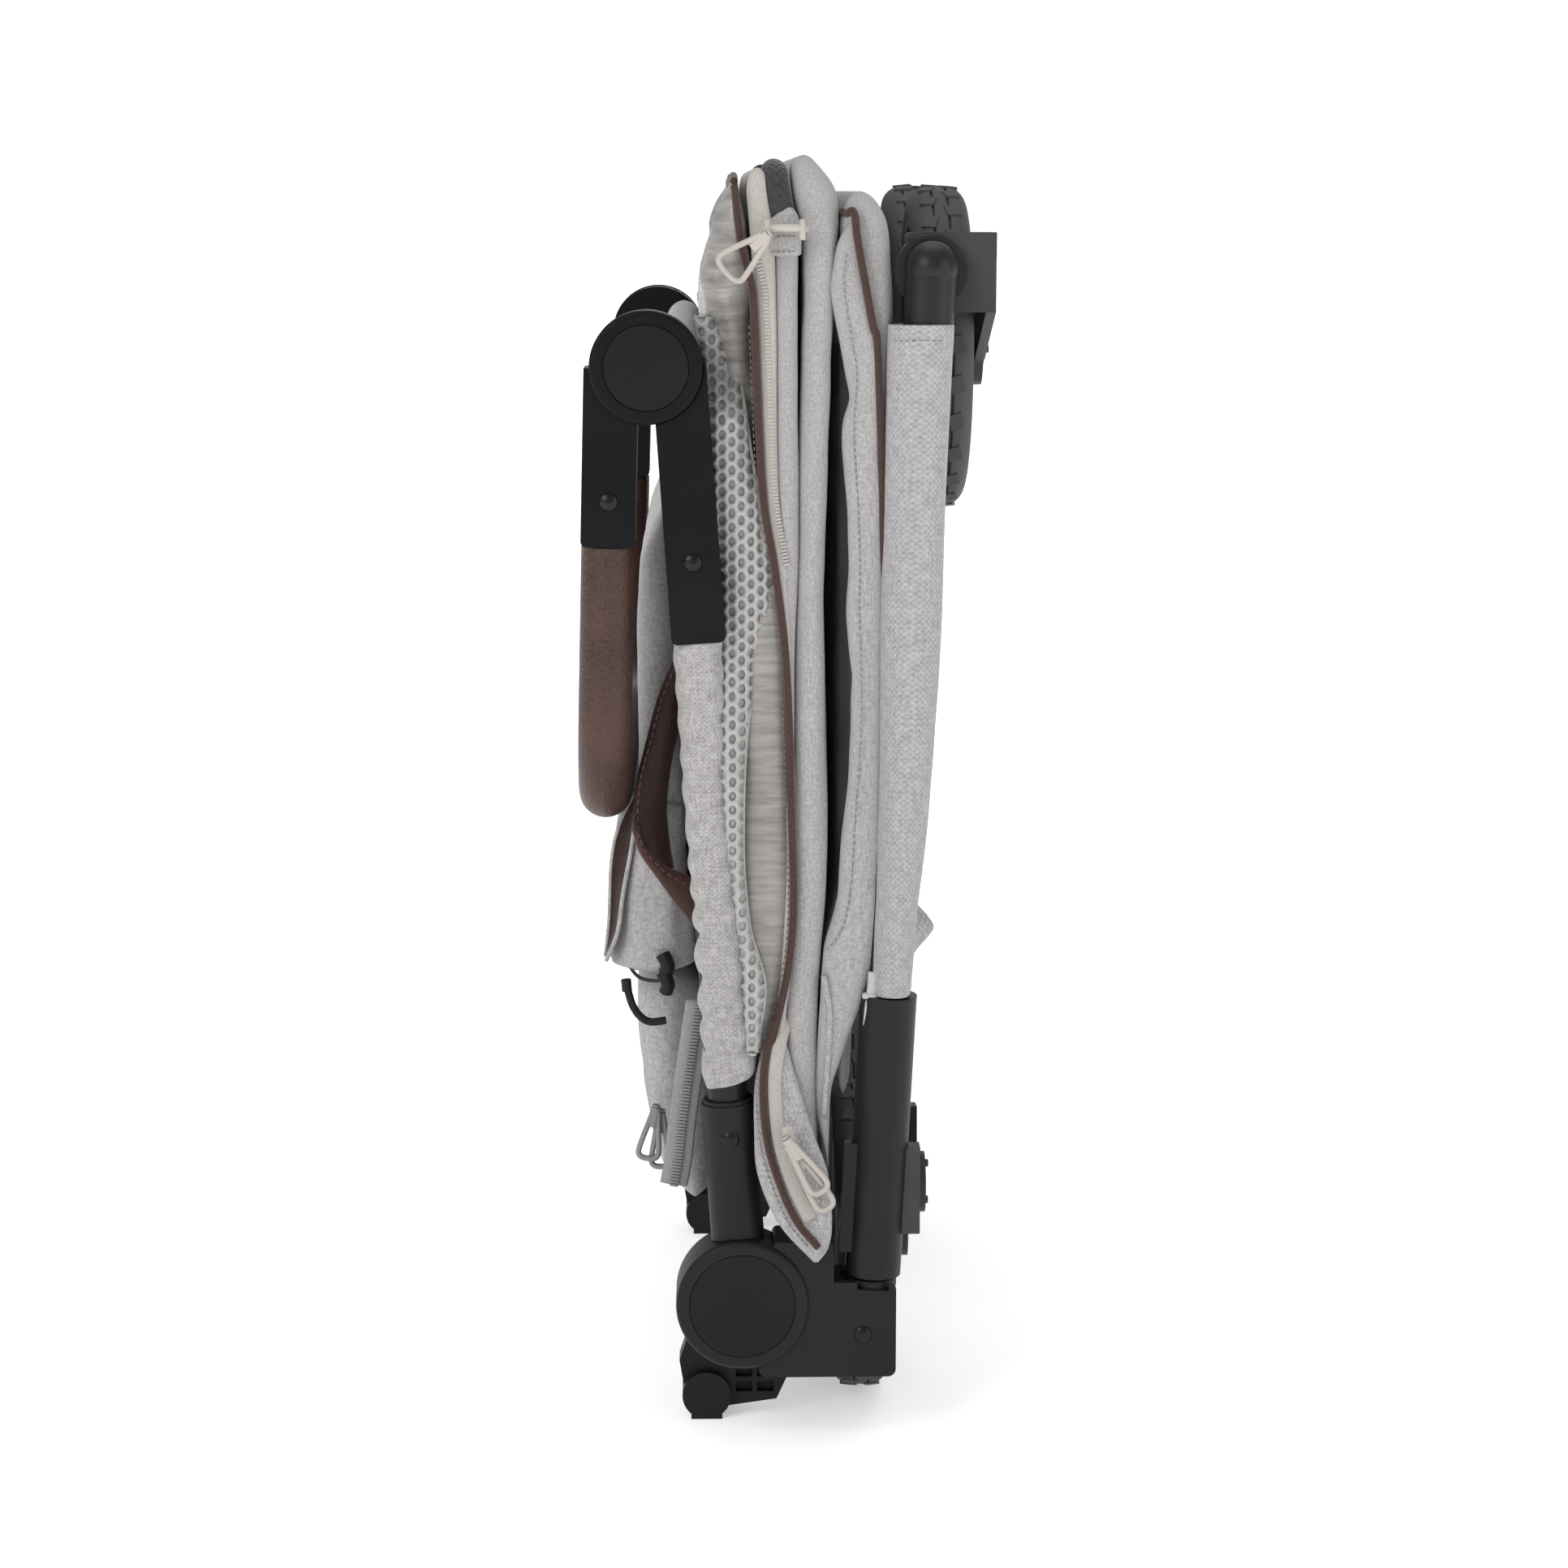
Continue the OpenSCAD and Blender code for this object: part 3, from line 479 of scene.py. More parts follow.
def stitchRow(name, points, finish, body, length=2.6, gap=1.7, radius=0.32):
    # lockstitches: short rounded threads with a gap between them
    deselectAll()
    bpy.ops.mesh.primitive_cylinder_add(vertices=6, radius=radius * 0.001, depth=length * 0.001)
    thread = bpy.context.object
    bpy.ops.object.mode_set(mode="EDIT")
    bpy.ops.mesh.select_all(action="SELECT")
    bpy.ops.transform.rotate(value=math.pi / 2, orient_axis="Y", center_override=(0, 0, 0))
    bpy.ops.mesh.bevel(offset=radius * 0.0004, segments=1, affect="EDGES")
    bpy.ops.object.mode_set(mode="OBJECT")
    thread.data.materials.append(finish)
    return ridden(copiesAlong(name, thread, alongPath(points, length + gap)), body)


def zipCoil(name, points, finish, body, width, pitch=1.7):
    # a closed coil zip: one row of rounded teeth that cross the tape
    deselectAll()
    bpy.ops.mesh.primitive_cube_add(size=1, scale=(0.00078 * pitch, width * 0.001, 0.0011))
    tooth = bpy.context.object
    bpy.ops.object.transform_apply(location=False, rotation=False, scale=True)
    bpy.ops.object.mode_set(mode="EDIT")
    bpy.ops.mesh.select_all(action="SELECT")
    bpy.ops.mesh.bevel(offset=0.00032, segments=2, affect="EDGES")
    bpy.ops.object.mode_set(mode="OBJECT")
    bpy.ops.object.shade_smooth()
    tooth.data.materials.append(finish)
    return ridden(copiesAlong(name, tooth, alongPath(points, pitch)), body)


def crease(x, y, z, seed, amount, long=95.0, short=11.0):
    # long soft folds along Z with a finer crumple on them, in mm
    big = noise.noise(Vector((x / short, y / short, z / long + seed * 7.31)))
    small = noise.noise(Vector((x / 6 + seed, y / 24, z / 17)))
    return amount * (big + 0.32 * small)


def foldedLayer(name, shape, finish, body, replaced):
    # a folded layer of cloth as a closed crowned form across the stroller
    left, right = smoothTrack(shape["left"]), smoothTrack(shape["right"])
    low, high = shape["span"]
    front, depth = shape.get("front", 207), shape.get("depth", 9)
    boxy, wave = shape.get("boxy", 0.85), shape.get("crease", 1.1)
    capTop, capLow = shape.get("capTop", 14), shape.get("capLow", 14)
    seed, tuck = shape.get("seed", 1), min(depth, 9)  # tuck is how far the ends draw in
    arc, side, along = 14, 30, shape.get("along", 84)

    def cap(z):
        fromEnd = min((high - z) / capTop, (z - low) / capLow, 1.0)
        fromEnd = max(fromEnd, 0.0)
        return math.sqrt(1 - (1 - fromEnd) ** 2)

    def place(u, v):
        z = low + (high - low) * (0.5 - 0.5 * math.cos(math.pi * v))
        opened = cap(z)
        middle, half = (left(z) + right(z)) / 2, (right(z) - left(z)) / 2 * opened
        reach = front - (1 - opened) * tuck
        step = u * (2 * arc + 2 * side)
        if step <= arc:
            angle = math.pi * (1 + step / arc)
            c, s = math.cos(angle), math.sin(angle)
            x = middle + half * math.copysign(abs(c) ** boxy, c)
            y = -(reach - depth) - depth * abs(s) ** boxy
            out = Vector((c, s, 0))
        elif step <= arc + side:
            x, y = middle + half, -(reach - depth) + 2 * (reach - depth) * (step - arc) / side
            out = Vector((1, 0, 0))
        elif step <= 2 * arc + side:
            angle = math.pi * (step - arc - side) / arc
            c, s = math.cos(angle), math.sin(angle)
            x = middle + half * math.copysign(abs(c) ** boxy, c)
            y = (reach - depth) + depth * abs(s) ** boxy
            out = Vector((c, s, 0))
        else:
            x, y = middle - half, (reach - depth) - 2 * (reach - depth) * (step - 2 * arc - side) / side
            out = Vector((-1, 0, 0))
        push = crease(x, y, z, seed, wave, shape.get("long", 95), shape.get("short", 11)) * opened
        if abs(out.x) > 0.99:
            push = min(push, 0.5)
        return (x + out.x * push, y + out.y * push, z)

    around = 2 * (math.pi * depth * 0.8) + 4 * (front - depth)
    piece = shapedGrid(name, 2 * arc + 2 * side, along, place, (around, high - low), finish, level=1)
    ridden(piece, body, replaced)
    return piece


# canopy pack, on the handle frame: each layer's left and right are (height, x) pairs in mm
foldedLayer("canopyRoll", {
    "left": [(103, 8), (162, 0), (200, -2), (245, -1), (326, 1), (405, 2), (484, 4), (545, 6), (599, 6.5),
             (625, 1), (636, -3)],
    "right": [(112, 14), (150, 14), (202, 13.6), (252, 15.6), (280, 17.5), (326, 19), (380, 18.2), (437, 17),
              (484, 18.5), (545, 20.5), (599, 23), (622, 23), (636, 17)],
    "span": (112, 640), "front": 206, "depth": 9, "crease": 2.0, "seed": 2, "capTop": 22,
}, melangeCloth, "handle_frame", "canopy_pack")
foldedLayer("canopyInnerRoll", {
    "left": [(230, -4), (326, -1), (405, -2), (445, -6), (545, -6.5), (596, -7)],
    "right": [(230, 1), (326, 2), (405, 3), (445, 4.5), (545, 3.8), (596, 4)],
    "span": (226, 598), "front": 206.5, "depth": 6, "crease": 0.8, "seed": 3, "capTop": 5,
}, melangeCloth, "handle_frame", "canopy_pack")
foldedLayer("zipTapeBand", {
    "left": [(132, 2), (145, -2), (166, -7), (191, -9), (245, -4), (326, 0), (366, -1), (405, -3), (445, -8),
             (484, -12), (561, -16), (599, -18), (632, -21)],
    "right": [(132, 9), (145, 5), (166, 1), (191, -3), (245, 0), (326, 3), (366, 2), (405, 1), (445, -1),
              (484, -5), (561, -6), (599, -7), (632, -9)],
    "span": (196, 634), "front": 207, "depth": 5, "crease": 0.5, "seed": 4, "boxy": 0.6, "slot": "beige_zip",
}, zipTape, "handle_frame", "canopy_pack")
foldedLayer("silverLiningFold", {
    "left": [(470, -17), (484, -20), (520, -30), (561, -42), (578, -43), (590, -40), (604, -35), (630, -27)],
    "right": [(470, -12), (484, -14), (561, -17), (599, -19), (630, -23)],
    "span": (466, 630), "front": 187, "depth": 18, "crease": 7.0, "seed": 5, "boxy": 1.0, "capTop": 24,
    "long": 44, "short": 16,
}, silverLining, "handle_frame", "canopy_pack")
foldedLayer("silverSatinBand", {
    "left": [(205, -16), (245, -25), (326, -26), (366, -24), (405, -20), (445, -17), (484, -20)],
    "right": [(205, -9), (245, -2), (277, 1), (326, 0), (366, -1), (405, -3), (445, -8), (484, -13)],
    "span": (200, 486), "front": 205, "depth": 8, "crease": 1.5, "seed": 6, "boxy": 0.7,
}, silverSatin, "handle_frame", "canopy_pack")
# the collar takes the lighter weave copy, with painted light
foldedLayer("rollCollar", {
    "left": [(592, -9.5), (606, -10.5), (618, -7.5)], "right": [(592, 6), (606, 5.5), (618, 2.5)],
    "span": (592, 618), "front": 209.5, "depth": 7, "crease": 0.8, "seed": 7, "capTop": 9, "capLow": 2,
    "long": 12, "short": 5,
}, litMelangeCloth, "handle_frame", "canopy_pack")
for sideName, side in bothSides:
    run = [(-4, side * 197, 604), (-4.5, side * 202, 613), (-6, side * 203, 624), (-6.8, side * 199, 630),
           (-7, side * 188, 632), (-7, side * 170, 632)]
    cordPiece("wovenBowSleeve" + sideName, run, 6.2, bowWeave, "handle_frame", sides=24)
    bar = [(-12.5, side * 213, 605.5), (-5, side * 216.5, 606), (2, side * 216.5, 606), (8, side * 213, 605.5)]
    cordPiece("sliderBar" + sideName, bar, 1.9, pullPlastic, "handle_frame", sides=10)
    for lug, x in (("Front", -10.5), ("Back", 6)):
        peg = [(x, side * 214, 609.5), (x, side * 215.5, 606), (x, side * 215, 600.5)]
        cordPiece("sliderLug" + lug + sideName, peg, 1.7, pullPlastic, "handle_frame", sides=10)
    for row, z in (("Low", 595), ("High", 602)):
        ring = [(x, side * (210.2 - 0.07 * (x + 2.3) ** 2), z) for x in (-8.5, -5, -2, 1, 4)]
        stitchRow("collarStitch" + row + sideName, ring, seamThread, "handle_frame", length=1.6, gap=1.0)
print("canopy rolls made")

pipingRadius = 1.9
pipingPack = [
    (-26, 626), (-23, 599), (-18, 580), (-16.5, 561), (-13, 484), (-7, 445), (-2, 405), (0, 366), (1, 326),
    (2, 277), (-1, 245), (-9, 208),
]
for sideName, side in bothSides:
    path = [(x, side * 208.5, z) for x, z in pipingPack]
    cordPiece("canopyPiping" + sideName, path, pipingRadius, pipingCord, "handle_frame")
    coil = [(x + 5.8, side * 206.9, z) for x, z in pipingPack[1:6]]
    zipCoil("canopyZipCoil" + sideName, coil, zipTape, "handle_frame", width=3.2)
    seam = [(x - 2.6, side * 207.2, z) for x, z in pipingPack[3:]]
    stitchRow("canopySeam" + sideName, seam, seamThread, "handle_frame", length=1.9, gap=1.3)
acrossTop = [(-26, y, 628 + 2.5 * math.sin(y / 31)) for y in range(-200, 201, 40)]
cordPiece("canopyPipingTop", acrossTop, pipingRadius, pipingCord, "handle_frame")

# spacer mesh: a folded strip of thick knit with open hexagonal holes
strip = {
    "left": smoothTrack([(204, -21), (222, -22.5), (237, -24), (265, -25.5), (294, -29.5), (323, -32.5),
                         (351, -35.5), (380, -38.8), (408, -38), (437, -34), (460, -38), (489, -40),
                         (517, -41), (546, -42.5), (565, -45)]),
    "right": smoothTrack([(204, -15), (222, -14), (237, -11.5), (251, -14.5), (265, -18.7), (294, -22),
                          (323, -22.4), (351, -21.5), (380, -18.2), (408, -10.6), (437, -5), (460, -8),
                          (475, -13), (489, -16.4), (517, -20.7), (532, -23), (546, -27), (565, -37)]),
    "low": 206, "high": 564, "across": 4.6, "along": 6.8, "holeAcross": 1.75, "holeAlong": 2.5, "wall": 1.2,
    "overSleeve": 9, "sleeveTop": 400, "sleeveBlend": 60,  # lower down it lies over the handle sleeve
    "inFromArm": 20, "armLow": 515, "armBlend": 22,  # clear of the upper arm when the handlebar is swung out
}


def onStrip(x, z, side, lift=0.0):
    z = min(max(z, strip["low"]), strip["high"])
    left, right = strip["left"](z), strip["right"](z)
    u = min(max((x - left) / (right - left), 0.0), 1.0)
    wave = 1.2 * math.sin(z / 17) + 0.8 * math.sin(z / 7.5 + 1)
    y = 199 + 8.5 * math.sin(math.pi * u) ** 0.6 + wave * u + lift
    y += strip["overSleeve"] * min(max((strip["sleeveTop"] - z) / strip["sleeveBlend"], 0), 1)
    y -= strip["inFromArm"] * min(max((z - strip["armLow"]) / strip["armBlend"], 0), 1)
    return Vector((left + (right - left) * u, side * y, z))


def stripFloor(u, v, side):
    z = strip["low"] + (strip["high"] - strip["low"]) * v
    left, right = strip["left"](z), strip["right"](z)
    return onStrip(left + (right - left) * (0.02 + 0.96 * u), z, side, -2.2)


def spacerMesh(name, side):
    # hexagonal cells in staggered columns: each is a ring between its rounded hole and the knit it shares
    mesh = bmesh.new()
    corners = [(math.cos(math.pi / 3 * k), math.sin(math.pi / 3 * k)) for k in range(6)]
    for column in range(-12, 2):
        x = column * strip["across"]
        for row in range(int((strip["high"] - strip["low"]) / strip["along"]) + 2):
            z = strip["low"] + (row + (0.5 if column % 2 else 0.0)) * strip["along"]
            level = min(max(z, strip["low"]), strip["high"])
            if not strip["left"](level) - 3 < x < strip["right"](level) + 3:
                continue
            outer, inner = [], []
            for k in range(12):
                a, b = corners[k // 2], corners[(k // 2 + (k % 2)) % 6]
                hx, hy = (a[0] + b[0]) / 2, (a[1] + b[1]) / 2
                edgePlace = (x + hx * strip["across"] / 1.5, z + hy * strip["along"] / math.sqrt(3))
                outer.append(mesh.verts.new(onStrip(*edgePlace, side) * 0.001))
                angle = math.pi / 6 * k
                holeX = x + strip["holeAcross"] * math.cos(angle)
                holeZ = z + strip["holeAlong"] * math.sin(angle)
                inner.append(mesh.verts.new(onStrip(holeX, holeZ, side, -0.9) * 0.001))
            for k in range(12):
                n = (k + 1) % 12
                mesh.faces.new((outer[k], outer[n], inner[n], inner[k]))
    bmesh.ops.remove_doubles(mesh, verts=mesh.verts, dist=0.00012)
    bmesh.ops.dissolve_degenerate(mesh, edges=mesh.edges, dist=0.00005)
    bmesh.ops.recalc_face_normals(mesh, faces=mesh.faces)
    piece = meshPiece(name, mesh)
    deselectAll()
    piece.select_set(True)
    bpy.context.view_layer.objects.active = piece
    applyModifier(piece, "SOLIDIFY", thickness=strip["wall"] * 0.001, offset=0)
    bpy.ops.object.shade_smooth()
    piece.data.materials.append(spacerKnit)
    return piece


for sideName, side in bothSides:
    ridden(spacerMesh("spacerMesh" + sideName, side), "handle_frame")
    floor = shapedGrid(
        "spacerMeshBack" + sideName, 8, 70,
        lambda u, v: stripFloor(u, v, side), (24, 366), spacerFloor, thickness=0.8,
    )
    ridden(floor, "handle_frame")
    for edgeName in ("left", "right"):
        run = [onStrip(strip[edgeName](z), z, side, 0.4) for z in range(strip["low"], strip["high"] + 1, 12)]
        run = [(point.x, point.y, point.z) for point in run]
        cordPiece("spacerEdge" + edgeName.title() + sideName, run, 0.9, spacerKnit, "handle_frame")
print("spacer mesh made")

# lower corner flap of the pack, hanging in front of the hub
flap = {
    "left": smoothTrack([(101, 12), (120, -5), (146, -16), (166, -17.5), (191, -17), (212, -12)]),
    "right": smoothTrack([(101, 14), (108, 19), (120, 21), (146, 19), (166, 12), (191, 4), (212, -2)]),
    "front": smoothTrack([(101, 223), (150, 221), (190, 214), (214, 208)]),
    "low": 101, "high": 214, "rounded": 9, "half": 3.2,
}
for sideName, side in bothSides:
    def flapPlace(u, v):
        z = flap["low"] + (flap["high"] - flap["low"]) * (0.5 - 0.5 * math.cos(math.pi * v))
        fromEnd = min((z - flap["low"]) / flap["rounded"], (flap["high"] - z) / flap["rounded"], 1)
        opened = math.sqrt(max(1 - (1 - fromEnd) ** 2, 0))
        left, right = flap["left"](z), flap["right"](z)
        angle = 2 * math.pi * u
        c, s = math.cos(angle), math.sin(angle)
        x = (left + right) / 2 + (right - left) / 2 * math.copysign(abs(c) ** 0.8, c)
        y = flap["front"](z) - 3.6 + (flap["half"] * math.copysign(abs(s) ** 0.7, s) * opened)
        y += crease(x, y, z, 9, 0.9) * max(s, 0) * opened
        return (x, side * y, z)
    corner = shapedGrid("packCorner" + sideName, 32, 40, flapPlace, (70, 113), melangeCloth, level=1)
    ridden(corner, "handle_frame", "canopy_pack")
    edge = [(-7, 222), (-10.5, 209), (-13, 191), (-11.5, 166), (-6, 145), (3, 124), (14, 110)]
    run = [(x, side * (flap["front"](z) + 0.9), z) for x, z in edge]
    cordPiece("cornerPiping" + sideName, run, pipingRadius, pipingCord, "handle_frame")
    run = [(x + 5.5 + (208 - z) * 0.015, side * (flap["front"](z) + 0.1), z) for x, z in edge[:-1]]
    run[0] = (run[0][0], side * 202, run[0][2])  # its upper end goes in under the roll
    cordPiece("cornerTape" + sideName, run, 3.6, zipTape, "handle_frame", sides=12, flat=0.35)
    seam = [(x - 3.2 - (209 - z) * 0.006, side * (flap["front"](z) + 0.2), z - 1.5) for x, z in edge]
    stitchRow("cornerStitches" + sideName, seam, seamThread, "handle_frame", length=1.9, gap=1.4)
    gather = [(-1.5, side * 224, 172), (-0.5, side * 226, 167), (1, side * 224, 162)]
    cordPiece("packSlider" + sideName, gather, 2.9, pullPlastic, "handle_frame", sides=12, flat=0.6)


def zipPull(name, eye, tip, wide, finish, body, replaced=None):
    # a moulded pull: a neck at the slider's eye, then a frame that widens round an opening
    start, end = Vector(eye), Vector(tip)
    run = end - start
    across = Vector((run.z, 0, -run.x)).normalized()
    frameLine = [(0.02, 0.12), (0.3, 0.26), (0.62, 0.42), (0.88, 0.5), (0.98, 0.34), (1.0, 0.0)]
    outline = [start + run * t + across * wide * w for t, w in frameLine]
    outline += [start + run * t - across * wide * w for t, w in reversed(frameLine[:-1])]
    outline = [(point.x, point.y, point.z) for point in outline]
    cordPiece(name, outline + outline[:1], 1.5, finish, body, replaced, sides=10)
    neck = [tuple(start - run * 0.06), tuple(start + run * 0.12), tuple(start + run * 0.34)]
    cordPiece(name + "Neck", neck, 2.7, finish, body, sides=10, flat=0.6)
    ring = [
        tuple(start - run * 0.1 + across * 1.8 * math.cos(a) + Vector((0, 1.8 * math.sin(a), 0)))
        for a in (0, 1.57, 3.14, 4.71, 6.28)
    ]
    cordPiece(name + "Eye", ring, 0.6, finish, body, sides=6)


zipPull("canopyPull", (-1, -230.9, 166), (15.5, -230.9, 141), 9.5, pullPlastic, "zip_pull_canopy",
        "zip_pull_canopy")
zipPull(
    "canopyPullUnder", (0, -228.2, 162), (18.5, -228.2, 131.5), 9, pullPlastic, "zip_pull_canopy",
)
zipPull("hoodPull", (-11.5, -219.5, 602), (-30, -219, 585.5), 15, pullPlastic, "zip_pull_hood",
        "zip_pull_hood")
print("corner flaps and pulls made")

# seat side, on the seat frame
hemShape = {
    "left": [(146, 18.5), (159, 16.4), (173, 14.2), (202, 14.2), (230, 15.6), (256, 17), (266, 20), (280, 24),
             (294, 25), (323, 26.7), (351, 28.8), (380, 29.5), (408, 28.8), (423, 28), (446, 28.7), (475, 27.3),
             (503, 25), (516, 25.4), (525, 28.2), (538, 26.5), (555, 23.7), (566, 21.6), (578, 20), (589, 21.6),
             (599, 23.7), (612, 30)],
    "right": [(146, 20), (159, 20), (179, 20.6), (190, 22), (202, 26.5), (216, 31), (231, 36.5), (250, 42),
              (270, 45), (290, 45.5), (405, 46), (484, 45), (549, 42.5), (561, 40), (599, 33), (613, 31)],
    "span": (144, 614), "front": 207, "depth": 6, "crease": 1.3, "seed": 11, "boxy": 0.6, "capTop": 10,
    "along": 150,
}
hemLine = [(256, 17), (261, 22), (269, 26.5), (280, 29), (294, 30.6), (323, 32.2), (351, 34.2), (380, 35),
           (408, 34.4), (423, 33.6), (446, 34), (475, 33), (503, 31), (516, 31), (538, 32), (555, 29.4),
           (578, 26), (594, 27)]
hemPanel = foldedLayer("hemmedSidePanel", hemShape, hemCloth, "seat_frame", "seat_pad")
# the seat's top panel takes the lighter weave copy, with painted light
foldedLayer("seatTopPanel", {
    "left": [(500, 30), (561, 30), (600, 25), (622, 25)],
    "right": [(500, 48), (561, 50.5), (599, 48), (612, 46), (622, 43)],
    "span": (470, 623), "front": 203, "depth": 12, "crease": 1.6, "seed": 12, "capTop": 16,
}, litMelangeCloth, "seat_frame", "seat_pad")
foldedLayer("seatCushion", {
    "left": [(178, 24.5), (598, 25)],
    "right": [(178, 30), (300, 36), (420, 42), (500, 46), (545, 48), (598, 46)],
    "span": (178, 600), "front": 194, "depth": 10, "crease": 2.6, "seed": 13,
}, melangeCloth, "seat_frame", "seat_pad")
netStrip = {"left": 23.7, "width": 7, "reach": 196, "low": 250, "tall": 302}
for sideName, side in bothSides:
    run = [(x - 0.5, side * (207.6 if z > 560 else 206.4), z) for z, x in hemShape["right"] if z > 440]
    run = [(47.5, side * 202, 425), (45.5, side * 205.5, 447)] + run + [(27, side * 204, 612.5)]
    cordPiece("seatPiping" + sideName, run, pipingRadius, pipingCord, "seat_frame")
    net = shapedGrid(
        "blackNet" + sideName, 6, 60,
        lambda u, v: (
            netStrip["left"] + netStrip["width"] * u,
            side * (netStrip["reach"] + netStrip["width"] * u + 1.5 * math.sin(v * 30)),
            netStrip["low"] + netStrip["tall"] * v,
        ),
        (10, netStrip["tall"]), blackMesh, thickness=0.8,
    )
    ridden(net, "seat_frame")
    stitched = [(x, side * 207.5, z) for z, x in hemLine]
    stitchRow("hemStitches" + sideName, stitched, seamThread, "seat_frame", length=2.2, gap=1.1, radius=0.3)
    fold = [(17, side * 207.6, 244), (20, side * 207.2, 224), (19, side * 207.2, 200), (17, side * 207.2, 172)]
    cordPiece("lowerFold" + sideName, fold, 1.6, hemCloth, "seat_frame", sides=10)
    clip = [(41.5, side * 209, 246), (41, side * 210, 238), (39.8, side * 210.5, 228), (39, side * 209.5, 219)]
    cordPiece("seatClip" + sideName, clip, 2.9, clipPlastic, "seat_frame", sides=12, flat=0.55)
    tongue = [(36.5, side * 209, 234), (41, side * 211.5, 234), (43, side * 210, 233)]
    cordPiece("seatClipTongue" + sideName, tongue, 1.7, clipPlastic, "seat_frame", sides=10)
acrossSeat = [(26, y, 613) for y in range(-200, 201, 50)]
cordPiece("seatPipingTop", acrossSeat, pipingRadius, pipingCord, "seat_frame")

# sleeves of coarse cloth sewn round the seat tubes
tubeSleeve = {
    "left": smoothTrack([(234, 40.5), (325, 44), (429, 44.5), (561, 47)]),
    "right": smoothTrack([(234, 59.5), (273, 62.5), (325, 68), (405, 73), (468, 74.5), (561, 78.5)]),
    "low": 234, "high": 561, "half": 13.2, "flatter": 2.6, "crease": 0.55,
}


def tubeSleevePlace(side):
    def place(u, v):
        z = tubeSleeve["low"] + (tubeSleeve["high"] - tubeSleeve["low"]) * v
        left, right = tubeSleeve["left"](z), tubeSleeve["right"](z)
        angle = 2 * math.pi * u
        c, s = math.cos(angle), math.sin(angle)
        x = (left + right) / 2 + (right - left) / 2 * math.copysign(abs(c) ** 0.75, c)
        deep = tubeSleeve["half"] - tubeSleeve["flatter"] * max(-c, 0)
        y = tubeReach + 0.6 + deep * math.copysign(abs(s) ** 0.75, s)
        push = crease(x, y, z, 21, tubeSleeve["crease"], long=120, short=14)
        return (x + c * push, side * (y + s * push), z)
    return place


tab = {
    "edge": smoothTrack([(249, 59), (255, 63), (261, 68.5), (266, 71.5), (271, 69), (277, 64), (284, 59)]),
    "inner": 56, "low": 249, "tall": 35,
}
for sideName, side in bothSides:
    sleeve = shapedGrid(
        "seatTubeSleeve" + sideName, 40, 80, tubeSleevePlace(side), (92, 327), coarseCloth, thickness=1.0,
        level=1,
    )
    ridden(sleeve, "seat_frame", "seat_sleeves")
    hem = [(x, side * y, 553.5) for x, y in ((48.5, 213), (54, 216.4), (62, 217.2), (70, 216.6), (76, 213))]
    flapTab = shapedGrid(
        "sleeveTab" + sideName, 8, 24,
        lambda u, v: (
            tab["inner"] + (tab["edge"](tab["low"] + tab["tall"] * v) - tab["inner"]) * u,
            side * (205 - 6 * u + 2 * math.sin(v * 5 + u * 3)), tab["low"] + tab["tall"] * v,
        ),
        (15, tab["tall"]), coarseCloth, thickness=1.3,
    )
    ridden(flapTab, "seat_frame")
    stitchRow("sleeveHem" + sideName, hem, seamThread, "seat_frame", length=2.0, gap=1.2, radius=0.25)

# gathered sleeves round the handle tubes
handleSleeve = {
    "left": smoothTrack([(190, -41.5), (245, -44.5), (326, -50.5), (412, -56)]),
    "right": smoothTrack([(190, -17), (245, -20.5), (326, -28), (412, -33)]),
    "low": 190, "high": 410, "half": 11.8,
    "ruck": 1.9, "ruckLong": 2.7, "slackLost": 0.65, "hemSlant": 0.3,  # rucks fade upwards, where the cloth is taut
}


def handleSleevePlace(side):
    def place(u, v):
        z = handleSleeve["low"] + (handleSleeve["high"] - handleSleeve["low"]) * v
        left, right = handleSleeve["left"](z), handleSleeve["right"](z)
        angle = 2 * math.pi * u
        c, s = math.cos(angle), math.sin(angle)
        x = (left + right) / 2 + (right - left) / 2 * math.copysign(abs(c) ** 0.85, c)
        y = tubeReach + handleSleeve["half"] * math.copysign(abs(s) ** 0.85, s)
        slack = 1 - handleSleeve["slackLost"] * v
        drift = 4 * noise.noise(Vector((x / 30, y / 30, z / 40)))
        ruck = math.sin((z - 0.55 * x) / handleSleeve["ruckLong"] + drift)
        ruck += 0.6 * noise.noise(Vector((x / 12, y / 12, z / 10)))
        push = handleSleeve["ruck"] * slack * ruck + 0.5 * noise.noise(Vector((x / 7, y / 7, z / 14)))
        z += (x + 30) * handleSleeve["hemSlant"] * (1 - v) ** 4
        return (x + c * push * 0.6, side * (y + s * push), z)
    return place


for sideName, side in bothSides:
    sleeve = shapedGrid(
        "handleTubeSleeve" + sideName, 36, 96, handleSleevePlace(side), (76, 222), sleeveCloth, thickness=0.9,
        level=1,
    )
    ridden(sleeve, "handle_frame", "handle_sleeves")
print("seat side and sleeves made")

# back: panel, pocket, zipped panel, strap
backShape = {"left": [], "right": []}
for z in (70, 200, 330, 462, 484):
    x, up = inHandle(-7, z)
    backShape["left"].append((up, x))
    x, up = inHandle(14, z)
    backShape["right"].append((up, x))
backPanel = foldedLayer("backPanel", {
    **backShape, "span": (142, 560), "front": 186, "depth": 9, "crease": 2.2, "seed": 31,
}, melangeCloth, "handle_frame", "backrest")
foldedLayer("pocketPanel", {
    "left": [(300, -74), (373, -74.5), (440, -73), (466, -66)],
    "right": [(300, -50), (466, -56)],
    "span": (290, 468), "front": 168, "depth": 14, "crease": 1.8, "seed": 32, "capTop": 26,
}, melangeCloth, "handle_frame", "back_pocket")
mouthOuter = [(-76, 327), (-84, 310), (-88, 292), (-89.5, 262), (-91.5, 243)]
